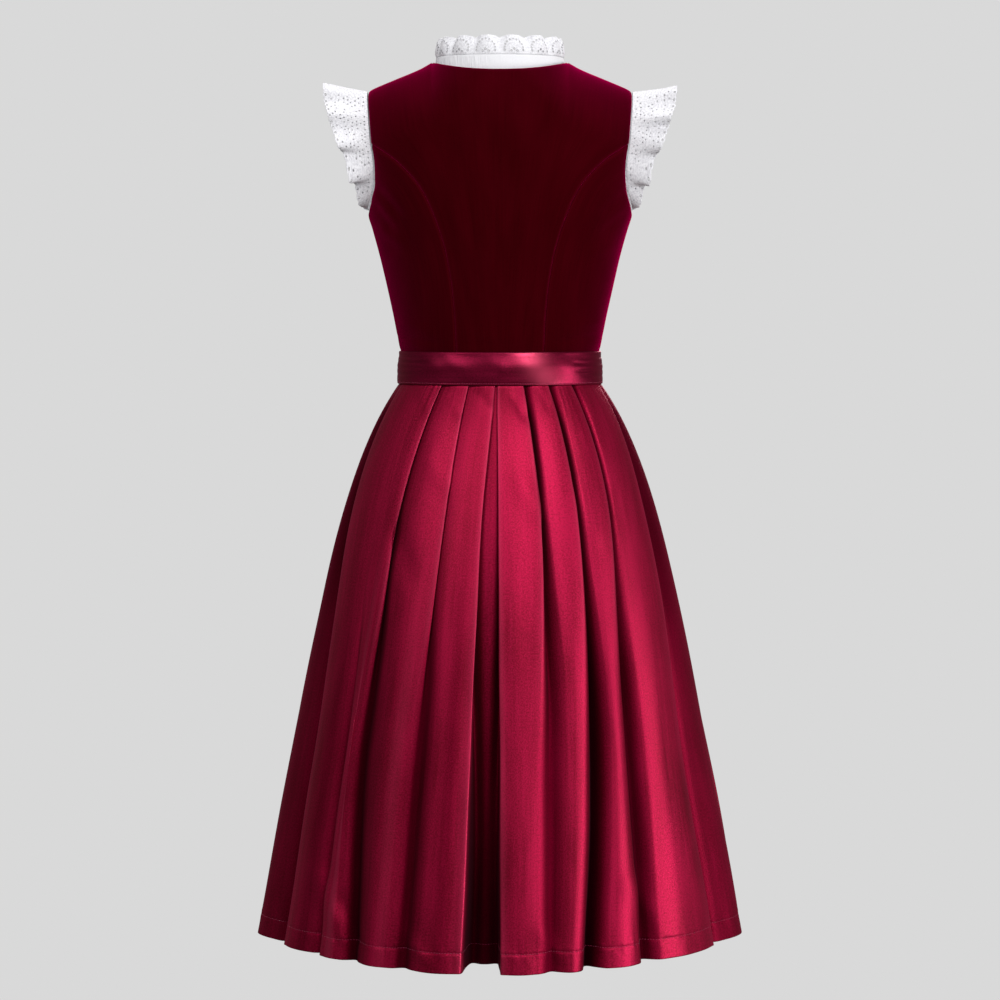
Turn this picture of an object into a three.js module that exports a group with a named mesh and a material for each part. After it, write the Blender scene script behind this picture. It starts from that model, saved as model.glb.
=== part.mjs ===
// A dirndl as worn, hollow and upright: velvet bodice, pleated satin skirt, satin apron whose
// band goes round the waist and ties in a bow, and a white blouse with stand-up collar.
// Millimetres, +Z up. The back faces -Y and +X is the wearer's right. The origin is in the
// middle of the neck, level with the inner ends of the shoulder seams.
import * as THREE from "three";

// Driving sizes
const velvetWall = 1.6;
const satinWall = 1.0;
const cottonWall = 1.0;
const seamGap = 0.3;
const blouseEase = 3.2; // between the bodice's inner face and the blouse
const blousePast = 0.8; // how far the blouse shows past the velvet at the armhole, in degrees

const shoulderTipX = 163;
const shoulderTipZ = -36;
const neckCornerX = 84.5;
const backNeckDrop = 12;
const frontNeckDrop = 150;
const armholeSideZ = -102;
const underarmZ = -186;
const bodiceHemZ = -372;
const blouseHemZ = -240;

const bandTopZ = -356;
const bandBottomZ = -397;
const bandWaist = { half: 126.1, back: 94.6, front: 98.6 };
const bandSwell = 2.2; // how much wider the band's lower half is than its top
const skirtLength = 692; // from the lower edge of the band to the hem
const apronLength = 648;

const sideTurn = 90; // degrees from centre back, round to the side seam
const armholeTopTurn = 56;
const armholeMiddleTurn = 62;

// Half-widths and depths of the torso at heights from band to neck.
const torsoRows = [
  { z: -400, half: 122.0, back: 91.0, front: 95.0 },
  { z: -372, half: 122.6, back: 91.4, front: 95.5 },
  { z: -357, half: 123.4, back: 92.0, front: 96.0 },
  { z: -350, half: 125.4, back: 93.5, front: 98.0 },
  { z: -306, half: 134.0, back: 97.0, front: 108.0 },
  { z: -246, half: 147.6, back: 103.0, front: 124.0 },
  { z: -206, half: 158.5, back: 106.0, front: 132.0 },
  { z: -186, half: 164.5, back: 107.0, front: 131.0 },
  { z: -143, half: 170.0, back: 106.0, front: 122.0 },
  { z: -102, half: 179.5, back: 102.0, front: 106.0 },
  { z: -70, half: 187.6, back: 96.0, front: 92.0 },
  { z: -36, half: 196.6, back: 84.0, front: 80.0 },
  { z: 0, half: 202.0, back: 66.0, front: 70.0 },
];
const torsoRoundness = 0.9; // power of the cosine that gives the depth at a turn
const ridgeY = -6; // where front and back meet on top of the shoulder
const ridgeRounding = 90; // height over which the shoulder rounds off
const neckSteepness = 1.2; // rise of the neck above the shoulder line, per mm inwards
const necklineRoundness = 2.4; // power that gives the neckline's height from the middle out
const columnGathering = 1.3; // power by which a panel's inner columns gather towards the hem
const armholeStraight = 0.4; // share of the armhole above its lower curve

// Height of the shoulder seam over its half-width.
const shoulderRows = [
  { x: 84.5, z: 0 },
  { x: 100, z: -8.5 },
  { x: 130, z: -21 },
  { x: 155, z: -31.5 },
  { x: 163, z: -36 },
];

// Princess seams: distance from the middle over the height.
const backSeamRows = [
  { z: -372, x: 53 },
  { z: -301, x: 56.5 },
  { z: -251, x: 63 },
  { z: -206, x: 75 },
  { z: -157, x: 97 },
  { z: -124, x: 127 },
  { z: -102, x: 158.5 },
];
const frontSeamRows = [
  { z: -372, x: 46 },
  { z: -301, x: 53 },
  { z: -251, x: 66 },
  { z: -206, x: 80 },
  { z: -157, x: 104 },
  { z: -124, x: 132 },
  { z: -102, x: 158.5 },
];

// The skirt's half-width and depths grow from the band down: a steady slope plus a quick flare.
const skirtWaist = { half: 126, back: 94, front: 97 };
const skirtSlope = { half: 0.1895, back: 0.16, front: 0.165 };
const skirtFlare = { half: 48.4, back: 35, front: 36 };
const flareLength = 94;
const sidePointing = 0.6; // how much more pointed the section's sides are at the hem
const layerStep = 1.5; // from one folded layer to the next at the waist
const layerGrowth = 2; // how much more apart the layers are at the hem, as a share
const foldOpening = { from: 40, to: 580 }; // drops between which the folds open
const foldDeepening = 1.15; // power by which folds grow deeper down the skirt
const foldClearance = 3; // from a fold's crease to the fold before it
const creaseSpread = 3; // half the width of the hollow inside an open fold
const lateFoldLength = 220; // over which a fold that begins below the band is formed
const flatPitch = 2.5; // between the lines of a fold above where it begins
// Where a panel comes out from under a fold: at the waist, and where the fold is open.
const panelStart = { waist: 2, waistShare: 0.3, open: 14, depthShare: 0.45 };
const panelBulge = 3; // of the cloth between two folds, at the hem
// Where that bulge is, as a share of the way: first panel, those between folds, last panel.
const bulgeShare = { first: 0.45, between: 0.62, last: 0.6 };

// Pleats round the back from the left side seam to the right. A fold's edge lies at a share of
// the half-width at five stations down the skirt, leans to the right (1) or to the left (-1),
// overlaps by under at the waist and by open at the hem, and is deep mm deep there.
const stationRows = [0, 140, 280, 450, skirtLength];
const backFolds = [
  { edge: [-0.966, -0.944, -0.908, -0.892, -0.885], lean: -1, under: 20, open: 2, deep: 18 },
  { edge: [-0.735, -0.735, -0.727, -0.735, -0.729], lean: -1, under: 4, open: 4, deep: 12, from: 230 },
  { edge: [-0.567, -0.627, -0.64, -0.665, -0.615], lean: 1, under: 20, open: -8, deep: 24 },
  { edge: [-0.304, -0.336, -0.367, -0.398, -0.41], lean: 1, under: 27, open: -8, deep: 16 },
  { edge: [-0.047, -0.105, -0.124, -0.133, -0.15], lean: 1, under: 27, open: -2, deep: 42 },
  { edge: [-0.027, -0.014, -0.008, -0.006, -0.004], lean: -1, under: 13, open: -2, deep: 42 },
  { edge: [0.228, 0.252, 0.246, 0.222, 0.184], lean: 1, under: 15, open: -8, deep: 14 },
  { edge: [0.472, 0.484, 0.469, 0.436, 0.345], lean: 1, under: 25, open: -16, deep: 40 },
  { edge: [0.698, 0.693, 0.64, 0.611, 0.579], lean: 1, under: 24, open: -10, deep: 28 },
  { edge: [0.97, 0.92, 0.903, 0.872, 0.875], lean: 1, under: 28, open: 2, deep: 16 },
];
// Pleats of the front, in the same terms, from the right side seam to the left one.
const frontFolds = [
  { edge: [0.9, 0.89, 0.88, 0.87, 0.86], lean: 1, under: 24, open: -4, deep: 18 },
  { edge: [0.62, 0.62, 0.61, 0.6, 0.61], lean: -1, under: 26, open: -8, deep: 22 },
  { edge: [0.3, 0.31, 0.31, 0.3, 0.29], lean: -1, under: 26, open: -10, deep: 26 },
  { edge: [-0.3, -0.3, -0.29, -0.3, -0.31], lean: 1, under: 26, open: -10, deep: 24 },
  { edge: [-0.62, -0.61, -0.6, -0.61, -0.6], lean: 1, under: 26, open: -8, deep: 22 },
  { edge: [-0.9, -0.9, -0.88, -0.87, -0.85], lean: -1, under: 24, open: -4, deep: 18 },
];
const skirtDrops = [-19, -1, 30, 80, 150, 250, 370, 520, skirtLength];

const collarHalf = 80.5;
const collarDepthBack = 60;
const collarDepthFront = 66;
const collarMiddleY = -4;
const collarBottomZ = -14;
const collarTopZ = 6;
const collarFrontDrop = 10;
const frillHeight = 23;
const frillFlutes = 14;
const frillWave = 3.2;
const frillLean = 8; // how far the frill's edge leans in
const collarLean = 1.5; // the same for the band
const scallopHalf = 1.8;

const capWidth = 52; // of the sleeve frill at the shoulder
const capEnd = 0.86; // where it runs out, from shoulder (0) to underarm (1)
const capFlutes = 5; // on each side of the shoulder
const capFlute = 6; // height of a flute's wave at the free edge
const capStart = 0.9; // from the armhole's edge to the frill's seam
const capTaper = 1.8; // power by which the frill narrows towards its ends
const capLeastWidth = 3;
const capLift = { y: 0.35, z: 0.13, sag: 0.02 }; // how the frill fans out from straight sideways
const capFullWaveWidth = 30; // narrower than this, the flutes grow flatter
const blouseSideShare = 0.22; // share of the blouse's rows that belongs to the side seam
const apronSideTurn = 72; // degrees either way from centre front
const apronWaves = 10;
const apronOff = { band: 1.6, low: 10, within: 130 }; // the apron's distance from the skirt
const apronWave = { band: 0.6, hem: 4.5 };

const bowTurn = 208; // degrees from centre back: front, on the wearer's left
const knotHalf = new THREE.Vector3(14, 8, 17);
const tieWidth = 40;
const bowStandOff = 0.8; // how far the bow moves out for each mm below the band
const tailSpread = { start: 11, share: 0.32 }; // the tails' middle lines beside the knot
const outerTailLift = 3.2; // the outer tail lies on the inner one
const tailCup = 1.2; // height of a tail's middle above its edges

const bodiceButtons = { count: 7, lowZ: -340, highZ: -172, besideMiddle: 9, radius: 6 };
const blouseButtons = { count: 4, lowZ: -115, highZ: -43, radius: 4.5 };
const buttonHeight = 3;

// Materials
const velvet = new THREE.MeshStandardMaterial({ color: 0x4a0318, roughness: 0.9 });
const satin = new THREE.MeshStandardMaterial({ color: 0x9c1034, roughness: 0.4 });
const apronSatin = new THREE.MeshStandardMaterial({ color: 0x6e1230, roughness: 0.4 });
const cotton = new THREE.MeshStandardMaterial({ color: 0xf2f2f5, roughness: 0.9 });
const metal = new THREE.MeshStandardMaterial({ color: 0xb0aaa0, roughness: 0.35, metalness: 1 });

const dirndl = new THREE.Group();

const radians = THREE.MathUtils.degToRad;
const degrees = THREE.MathUtils.radToDeg;
const { lerp, clamp, smoothstep } = THREE.MathUtils;

// Reads a table between its rows, on a smooth curve through them.
function read(rows, by, column, value) {
  const last = rows.length - 1;
  const at = clamp(value, rows[0][by], rows[last][by]);
  let i = 0;
  while (i < last - 1 && rows[i + 1][by] < at) i += 1;
  const slope = (k) => {
    const a = rows[Math.max(k - 1, 0)];
    const b = rows[Math.min(k + 1, last)];
    return (b[column] - a[column]) / (b[by] - a[by]);
  };
  const span = rows[i + 1][by] - rows[i][by];
  const t = (at - rows[i][by]) / span;
  const t2 = t * t;
  const t3 = t2 * t;
  return (
    (2 * t3 - 3 * t2 + 1) * rows[i][column] +
    (t3 - 2 * t2 + t) * span * slope(i) +
    (3 * t2 - 2 * t3) * rows[i + 1][column] +
    (t3 - t2) * span * slope(i + 1)
  );
}

function numbersBetween(first, last, steps) {
  return Array.from({ length: steps + 1 }, (unused, i) => lerp(first, last, i / steps));
}

// A closed wall between two grids of points of the same size. Rows go up, columns go round;
// ring joins the last column to the first. Faces are turned outwards at the end.
function wallSolid(name, outer, inner, material, ring = false) {
  const rowCount = outer.length;
  const columnCount = outer[0].length;
  const positions = [];
  for (const grid of [outer, inner]) {
    for (const row of grid) {
      for (const point of row) positions.push(point.x, point.y, point.z);
    }
  }
  const out = (r, c) => r * columnCount + (c % columnCount);
  const into = (r, c) => rowCount * columnCount + out(r, c);
  const triangles = [];
  const quad = (a, b, c, d) => triangles.push(a, b, c, a, c, d);
  const top = rowCount - 1;
  const end = columnCount - 1;
  const columns = ring ? columnCount : end;
  for (let c = 0; c < columns; c += 1) {
    for (let r = 0; r < top; r += 1) {
      quad(out(r, c), out(r, c + 1), out(r + 1, c + 1), out(r + 1, c));
      quad(into(r, c), into(r + 1, c), into(r + 1, c + 1), into(r, c + 1));
    }
    quad(into(0, c), into(0, c + 1), out(0, c + 1), out(0, c));
    quad(out(top, c), out(top, c + 1), into(top, c + 1), into(top, c));
  }
  if (!ring) {
    for (let r = 0; r < top; r += 1) {
      quad(out(r, 0), out(r + 1, 0), into(r + 1, 0), into(r, 0));
      quad(into(r, end), into(r + 1, end), out(r + 1, end), out(r, end));
    }
  }
  const corner = (index) => new THREE.Vector3().fromArray(positions, index * 3);
  let volume = 0;
  for (let i = 0; i < triangles.length; i += 3) {
    const [a, b, c] = triangles.slice(i, i + 3).map(corner);
    volume += a.dot(b.cross(c));
  }
  if (volume < 0) triangles.reverse();
  const geometry = new THREE.BufferGeometry();
  geometry.setAttribute("position", new THREE.Float32BufferAttribute(positions, 3));
  geometry.setIndex(triangles);
  geometry.computeVertexNormals();
  const mesh = new THREE.Mesh(geometry, material);
  mesh.name = name;
  dirndl.add(mesh);
  return mesh;
}

// Height of the shoulder line over x; nearer the middle it goes on up the neck.
function ridgeZ(x) {
  const reach = Math.abs(x);
  if (reach < neckCornerX) return (neckCornerX - reach) * neckSteepness;
  return read(shoulderRows, "x", "z", reach);
}

// A point of the torso at a turn from centre back and a height.
function torsoPoint(turn, z) {
  const angle = radians(turn);
  const cosine = Math.cos(angle);
  const depth = read(torsoRows, "z", cosine > 0 ? "back" : "front", z);
  const x = read(torsoRows, "z", "half", z) * Math.sin(angle);
  const bodyY = -Math.sign(cosine) * depth * Math.abs(cosine) ** torsoRoundness;
  const below = clamp((ridgeZ(x) - z) / ridgeRounding, 0, 1);
  const rounding = Math.sqrt(1 - (1 - below) ** 2);
  return new THREE.Vector3(x, lerp(ridgeY, bodyY, rounding), z);
}

function torsoTurn(x, z, front) {
  const half = read(torsoRows, "z", "half", z);
  const turn = degrees(Math.asin(clamp(x / half, -1, 1)));
  return front ? 180 - turn : turn;
}

// Outward direction of the torso at a turn and height.
function torsoNormal(turn, z) {
  const across = torsoPoint(turn + 1, z).sub(torsoPoint(turn - 1, z));
  const up = torsoPoint(turn, z + 2).sub(torsoPoint(turn, z - 2));
  return across.cross(up).normalize();
}

// The armhole on one half: 0 at the shoulder tip, 1 at the underarm, as a turn and a height.
function armhole(share) {
  if (share < armholeStraight) {
    const t = share / armholeStraight;
    return {
      turn: lerp(armholeTopTurn, armholeMiddleTurn, t),
      z: lerp(shoulderTipZ, armholeSideZ, t),
    };
  }
  const angle = ((share - armholeStraight) / (1 - armholeStraight)) * (Math.PI / 2);
  return {
    turn: sideTurn - (sideTurn - armholeMiddleTurn) * Math.cos(angle),
    z: armholeSideZ - (armholeSideZ - underarmZ) * Math.sin(angle),
  };
}

// Upper edge of a panel over x: the neckline between the neck corners, then the shoulder.
function upperEdgeZ(x, neckDrop) {
  const reach = Math.abs(x);
  if (reach >= neckCornerX) return read(shoulderRows, "x", "z", reach);
  return -neckDrop * (1 - (reach / neckCornerX) ** necklineRoundness);
}

// Outer and inner faces of a torso panel from a function that gives a turn and a height.
// The upper corners of the shoulder are cut upright so that front and back lie side by side.
function torsoPanel(name, rows, columns, spot, wall, material) {
  const outer = [];
  const inner = [];
  for (const row of rows) {
    const outerRow = [];
    const innerRow = [];
    for (const column of columns) {
      const { turn, z } = spot(row, column);
      const point = torsoPoint(turn, z);
      const normal = torsoNormal(turn, z);
      const onRidge = Math.abs(point.y - ridgeY) < 1;
      const isFront = Math.abs(turn) > sideTurn;
      if (onRidge) {
        normal.set(Math.sign(point.x) * 0.3, 0, 0.95).normalize();
        point.y = ridgeY + (isFront ? seamGap : -seamGap);
      }
      outerRow.push(point);
      innerRow.push(point.clone().addScaledVector(normal, -wall));
    }
    outer.push(outerRow);
    inner.push(innerRow);
  }
  return wallSolid(name, outer, inner, material);
}

const gapTurn = degrees(seamGap / 140); // the seam gap as a turn

// Middle panel edge: the princess seam up to the armhole, then the armhole.
function middlePanelEdge(z, front) {
  if (z < armholeSideZ) {
    const x = read(front ? frontSeamRows : backSeamRows, "z", "x", z);
    return degrees(Math.asin(x / read(torsoRows, "z", "half", z)));
  }
  const t = (shoulderTipZ - z) / (shoulderTipZ - armholeSideZ);
  return lerp(armholeTopTurn, armholeMiddleTurn, t);
}

const bodiceLevels = [
  -372, -355, -300, -250, -206, -170, -140, -118, -102, -80, -62, -50, -42, -36,
];

// Places in a middle panel by level and column. Columns inside the neck's corner run straight up
// to the neckline; those outside it spread out to the seam and the armhole.
function middleSpot(front, neckDrop) {
  const corner = neckCornerX / shoulderTipX;
  const edgeX = (level) => {
    const turn = middlePanelEdge(level, front) - gapTurn / 2;
    return read(torsoRows, "z", "half", level) * Math.sin(radians(turn));
  };
  return (level, column) => {
    const reach = Math.abs(column);
    const share = (level - bodiceHemZ) / (shoulderTipZ - bodiceHemZ);
    const inner = Math.min(reach, corner);
    const innerX = lerp(inner * edgeX(bodiceHemZ), inner * shoulderTipX, share ** columnGathering);
    const spread = Math.max(0, (reach - corner) / (1 - corner));
    const x = lerp(innerX, edgeX(level), spread) * Math.sign(column);
    const z = lerp(bodiceHemZ, upperEdgeZ(column * shoulderTipX, neckDrop), share);
    return { turn: torsoTurn(x, z, front), z };
  };
}

function addBodice() {
  const halfColumns = [0.19, 0.37, 0.47, 0.518, 0.68, 0.85, 1];
  const backColumns = [...halfColumns.map((column) => -column).reverse(), 0, ...halfColumns];
  torsoPanel(
    "bodice_back",
    bodiceLevels,
    backColumns,
    middleSpot(false, backNeckDrop),
    velvetWall,
    velvet,
  );
  const frontColumns = [0.002, 0.14, 0.26, 0.36, 0.43, 0.485, 0.518, 0.62, 0.8, 1];
  for (const [side, sign] of [["right", 1], ["left", -1]]) {
    torsoPanel(
      `bodice_front_${side}`,
      bodiceLevels,
      frontColumns.map((column) => column * sign),
      middleSpot(true, frontNeckDrop),
      velvetWall,
      velvet,
    );
    addSidePanel(`bodice_side_back_${side}`, sign, false);
    addSidePanel(`bodice_side_front_${side}`, sign, true);
  }
}

// A side panel between princess seam and side seam, under the armhole's lower curve.
function addSidePanel(name, sign, front) {
  const seam = (share) => {
    const z = lerp(bodiceHemZ, armholeSideZ, share);
    return { turn: middlePanelEdge(z - 0.001, front) + gapTurn / 2, z };
  };
  const side = (share) => ({
    turn: sideTurn - gapTurn / 2,
    z: lerp(bodiceHemZ, underarmZ, share),
  });
  const topEdge = (share) => {
    const spot = armhole(lerp(armholeStraight, 1, share));
    const round = (spot.turn - armholeMiddleTurn) / (sideTurn - armholeMiddleTurn);
    return { turn: lerp(seam(1).turn, side(1).turn, round), z: spot.z };
  };
  const bottom = (share) => ({
    turn: lerp(seam(0).turn, side(0).turn, share),
    z: bodiceHemZ,
  });
  const spot = (row, column) => {
    const mix = (key) =>
      lerp(bottom(column)[key], topEdge(column)[key], row) +
      lerp(seam(row)[key], side(row)[key], column) -
      lerp(
        lerp(seam(0)[key], side(0)[key], column),
        lerp(seam(1)[key], side(1)[key], column),
        row,
      );
    const turn = mix("turn") * sign;
    return { turn: front ? 180 * sign - turn : turn, z: mix("z") };
  };
  const rows = bodiceLevels
    .filter((z) => z <= armholeSideZ)
    .map((z) => (z - bodiceHemZ) / (armholeSideZ - bodiceHemZ));
  torsoPanel(name, rows, numbersBetween(0, 1, 5), spot, velvetWall, velvet);
}

// The collar's oval at a turn from centre back, moved out by a distance.
function collarPoint(turn, z, out = 0) {
  const angle = radians(turn);
  const depth = Math.cos(angle) > 0 ? collarDepthBack : collarDepthFront;
  const drop = collarFrontDrop * Math.max(0, -Math.cos(angle));
  return new THREE.Vector3(
    (collarHalf + out) * Math.sin(angle),
    collarMiddleY - (depth + out) * Math.cos(angle),
    z - drop,
  );
}

// A blouse half, front or back, just inside the bodice; it ends under the collar's lower edge.
function addBlousePanel(name, front) {
  const inset = velvetWall + blouseEase;
  const sideShare = blouseSideShare;
  const edge = (share) => {
    if (share < sideShare) {
      return { turn: sideTurn, z: lerp(blouseHemZ, underarmZ, share / sideShare) };
    }
    return armhole(1 - (share - sideShare) / (1 - sideShare));
  };
  const cornerColumn = neckCornerX / shoulderTipX;
  const collarSpot = (column) => {
    const turn = (column / cornerColumn) * 90;
    const spot = collarPoint(front ? 180 - turn : turn, collarBottomZ - seamGap - 0.2);
    if (Math.abs(column) === cornerColumn) spot.y = ridgeY;
    spot.y += front ? seamGap : -seamGap;
    return spot;
  };
  const rows = [0, 0.12, sideShare, 0.4, 0.58, 0.72, 0.84, 0.93, 1];
  const halfColumns = [0.2, 0.38, cornerColumn, 0.68, 0.85, 1];
  const columns = [...halfColumns.map((column) => -column).reverse(), 0, ...halfColumns];
  const outer = [];
  const inner = [];
  for (const row of rows) {
    const outerRow = [];
    const innerRow = [];
    for (const column of columns) {
      const reach = Math.abs(column);
      const atCollar = reach <= cornerColumn;
      const side = edge(row);
      const topX = column * shoulderTipX;
      const topZ = atCollar ? collarSpot(column).z : upperEdgeZ(topX, backNeckDrop);
      const sideRise = (side.z - blouseHemZ) / (shoulderTipZ - blouseHemZ);
      const z = lerp(blouseHemZ, topZ, lerp(row, sideRise, reach ** 2));
      const past = row > sideShare ? blousePast : -gapTurn;
      const x = read(torsoRows, "z", "half", z) * Math.sin(radians(column * (side.turn + past)));
      const placed = torsoTurn(lerp(x, topX, smoothstep(row, 0.8, 1)), z, front);
      const point = torsoPoint(placed, z);
      const normal = torsoNormal(placed, z);
      if (row === 1 && !atCollar) {
        normal.set(Math.sign(column) * 0.3, 0, 0.95).normalize();
        point.y = ridgeY + (front ? seamGap : -seamGap);
      }
      point.addScaledVector(normal, -inset);
      if (row === 1 && atCollar) {
        point.copy(collarSpot(column));
        normal.set(point.x, point.y - collarMiddleY, 0).normalize();
      }
      outerRow.push(point);
      innerRow.push(point.clone().addScaledVector(normal, -cottonWall));
    }
    outer.push(outerRow);
    inner.push(innerRow);
  }
  wallSolid(name, outer, inner, cotton);
}

function addCollar() {
  const turns = numbersBetween(0, 360, 32).slice(0, -1);
  const bandRow = (z, out) => turns.map((turn) => collarPoint(turn, z, out));
  wallSolid(
    "collar_band",
    [bandRow(collarBottomZ, 0), bandRow(collarTopZ, -collarLean)],
    [bandRow(collarBottomZ, -cottonWall), bandRow(collarTopZ, -collarLean - cottonWall)],
    cotton,
    true,
  );
  const pointsPerFlute = 4;
  const frillTurns = numbersBetween(0, 360, frillFlutes * pointsPerFlute).slice(0, -1);
  const frillRow = (share, out) =>
    frillTurns.map((turn) => {
      const wave = -Math.cos(radians(turn * frillFlutes)); // a valley in the middle of the back
      const z = collarTopZ + seamGap + (frillHeight - scallopHalf + scallopHalf * wave) * share;
      const lean = collarLean + frillLean * share ** 2;
      return collarPoint(turn, z, out - lean + frillWave * wave * share);
    });
  const shares = [0, 1];
  wallSolid(
    "collar_frill",
    shares.map((share) => frillRow(share, 0)),
    shares.map((share) => frillRow(share, -cottonWall)),
    cotton,
    true,
  );
}

// A frill cap along the armhole, from its back low end over the shoulder to the front one.
function addSleeveFrill(name, sign) {
  const columns = numbersBetween(-capEnd, capEnd, capFlutes * 2 * 3);
  const shares = [0, 0.5, 1];
  const middleZ = (shoulderTipZ + underarmZ) / 2;
  const grid = (away) =>
    shares.map((share) =>
      columns.map((column) => {
        const reach = Math.abs(column);
        const spot = armhole(reach);
        const turn = column > 0 ? 180 - spot.turn : spot.turn;
        const root = torsoPoint(turn, spot.z);
        const width = capWidth * (1 - (reach / capEnd) ** capTaper) + capLeastWidth;
        const radial = new THREE.Vector3(0, root.y - ridgeY, root.z - middleZ).normalize();
        const outward = new THREE.Vector3(
          1,
          radial.y * capLift.y,
          radial.z * capLift.z - capLift.sag,
        ).normalize();
        const calm = Math.min(1, width / capFullWaveWidth);
        const wave = Math.sin((column / capEnd) * capFlutes * 2 * Math.PI);
        const point = root.addScaledVector(outward, capStart + width * share);
        point.addScaledVector(radial, away + capFlute * wave * share * calm);
        point.x *= sign;
        return point;
      }),
    );
  wallSolid(name, grid(cottonWall / 2), grid(-cottonWall / 2), cotton);
}

// Size of the skirt at a drop below the band.
function skirtSize(drop, key) {
  const d = Math.max(drop, 0);
  const flare = skirtFlare[key] * (1 - Math.exp(-d / flareLength));
  const tuck = drop < 0 ? 1 : 0; // the top goes in under the band
  return skirtWaist[key] - tuck + skirtSlope[key] * d + flare;
}

// A point of the skirt's section at a turn from centre back, as [x, y].
function skirtPoint(turn, drop) {
  const angle = radians(turn);
  const cosine = Math.cos(angle);
  const depth = skirtSize(drop, cosine > 0 ? "back" : "front");
  const power = torsoRoundness + sidePointing * clamp(drop / skirtLength, 0, 1);
  return new THREE.Vector2(
    skirtSize(drop, "half") * Math.sin(angle),
    -Math.sign(cosine) * depth * Math.abs(cosine) ** power,
  );
}

// The same, moved round by a length and in or out by a depth.
function skirtSpot(turn, drop, along, out) {
  const step = 0.5;
  const perDegree = skirtPoint(turn + step, drop).distanceTo(skirtPoint(turn - step, drop));
  const moved = turn + along / perDegree;
  const tangent = skirtPoint(moved + step, drop).sub(skirtPoint(moved - step, drop)).normalize();
  const point = skirtPoint(moved, drop);
  return point.add(new THREE.Vector2(tangent.y, -tangent.x).multiplyScalar(out));
}

// A fold's edge position at a drop, as a turn from centre back.
function foldTurn(fold, drop, front) {
  const rows = stationRows.map((at, i) => ({ at, share: fold.edge[i] }));
  const turn = degrees(Math.asin(read(rows, "at", "share", drop)));
  return front ? 180 - turn : turn;
}

// The five points of a fold in the order edge, back of edge, crease, back of crease and the
// place where the next panel comes out from under it.
function foldPoints(fold, drop, turn, room) {
  const down = clamp(drop / skirtLength, 0, 1);
  const opening = smoothstep(drop, foldOpening.from, foldOpening.to);
  const step = layerStep * (1 + layerGrowth * down);
  const under = Math.min(lerp(fold.under, fold.open, opening), room - foldClearance);
  const deep = fold.deep * down ** foldDeepening;
  const shelf = 2 * step * (clamp(under, 0, room) / room);
  const emerge = Math.min(panelStart.waist, room * panelStart.waistShare);
  const spread = creaseSpread * opening;
  const openDepth = -panelStart.depthShare * deep;
  const folded = [
    [0, 0],
    [0, -step],
    [-under - spread, -shelf - step - deep],
    [-under + spread, -shelf - 2 * step - deep],
    [lerp(emerge, panelStart.open - under, opening), lerp(-2 * step, openDepth, opening)],
  ];
  const born = fold.from ? smoothstep(drop, fold.from, fold.from + lateFoldLength) : 1;
  return folded.map(([along, out], i) => {
    const flatAlong = i * flatPitch;
    return skirtSpot(
      turn,
      drop,
      fold.lean * lerp(flatAlong, along, born),
      lerp(0, out, born),
    );
  });
}

// The middle line of the cloth round one skirt piece at a drop.
function skirtSection(folds, drop, front) {
  const first = front ? 90 : -90;
  const last = first + 180;
  const turns = folds.map((fold) => foldTurn(fold, drop, front));
  const perDegree = skirtPoint(0.5, drop).distanceTo(skirtPoint(-0.5, drop));
  const points = [skirtPoint(first, drop)];
  const bulge = panelBulge * clamp(drop / skirtLength, 0, 1);
  points.push(skirtSpot(lerp(first, turns[0], bulgeShare.first), drop, 0, bulge));
  folds.forEach((fold, i) => {
    const next = turns[i + 1] ?? last;
    const before = turns[i - 1] ?? first;
    const lean = fold.lean;
    const room = Math.abs(lean > 0 ? turns[i] - before : next - turns[i]) * perDegree;
    const made = foldPoints(fold, drop, turns[i], room);
    points.push(...(lean > 0 ? made : made.reverse()));
    const following = folds[i + 1];
    const isGroove = following && lean > 0 && following.lean < 0;
    if (following && !isGroove) {
      points.push(skirtSpot(lerp(turns[i], next, bulgeShare.between), drop, 0, bulge));
    }
  });
  points.push(skirtSpot(lerp(turns.at(-1), last, bulgeShare.last), drop, 0, bulge));
  points.push(skirtPoint(last, drop));
  return points;
}

// Moves a line of points sideways by a distance, with mitred corners.
function movedLine(points, distance) {
  const side = (a, b) => {
    const d = b.clone().sub(a).normalize();
    return new THREE.Vector2(d.y, -d.x);
  };
  return points.map((point, i) => {
    const before = side(points[Math.max(i - 1, 0)], points[Math.max(i, 1)]);
    const after = i < points.length - 1 ? side(point, points[i + 1]) : before;
    const share = Math.max(1 + before.dot(after), 0.5);
    const mitre = before.add(after).divideScalar(share);
    return point.clone().addScaledVector(mitre, distance);
  });
}

function addSkirtPiece(name, folds, front) {
  const drops = [...skirtDrops].reverse();
  const seamY = front ? seamGap / 2 : -seamGap / 2; // the side seams lie in one upright plane
  const grid = (distance) =>
    drops.map((drop) => {
      const middle = skirtSection(folds, drop, front);
      const moved = movedLine(middle, distance);
      for (const end of [0, middle.length - 1]) {
        const x = middle[end].x;
        moved[end].set(x + Math.sign(x) * distance, seamY);
      }
      return moved.map((point) => new THREE.Vector3(point.x, point.y, bandBottomZ - drop));
    });
  wallSolid(name, grid(satinWall / 2), grid(-satinWall / 2), satin);
}

// The apron's cloth at a turn and drop, moved out by a distance.
function apronPoint(turn, drop, out) {
  const down = clamp(drop / apronLength, 0, 1);
  const off = lerp(apronOff.band, apronOff.low, smoothstep(drop, 0, apronOff.within));
  const across = (turn - 180) / apronSideTurn; // -1 at one side edge, 1 at the other
  const wave = lerp(apronWave.band, apronWave.hem, down) * Math.cos((across * apronWaves * Math.PI) / 2);
  const point = skirtSpot(turn, drop, 0, off + wave + out);
  return new THREE.Vector3(point.x, point.y, bandBottomZ - drop);
}

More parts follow.
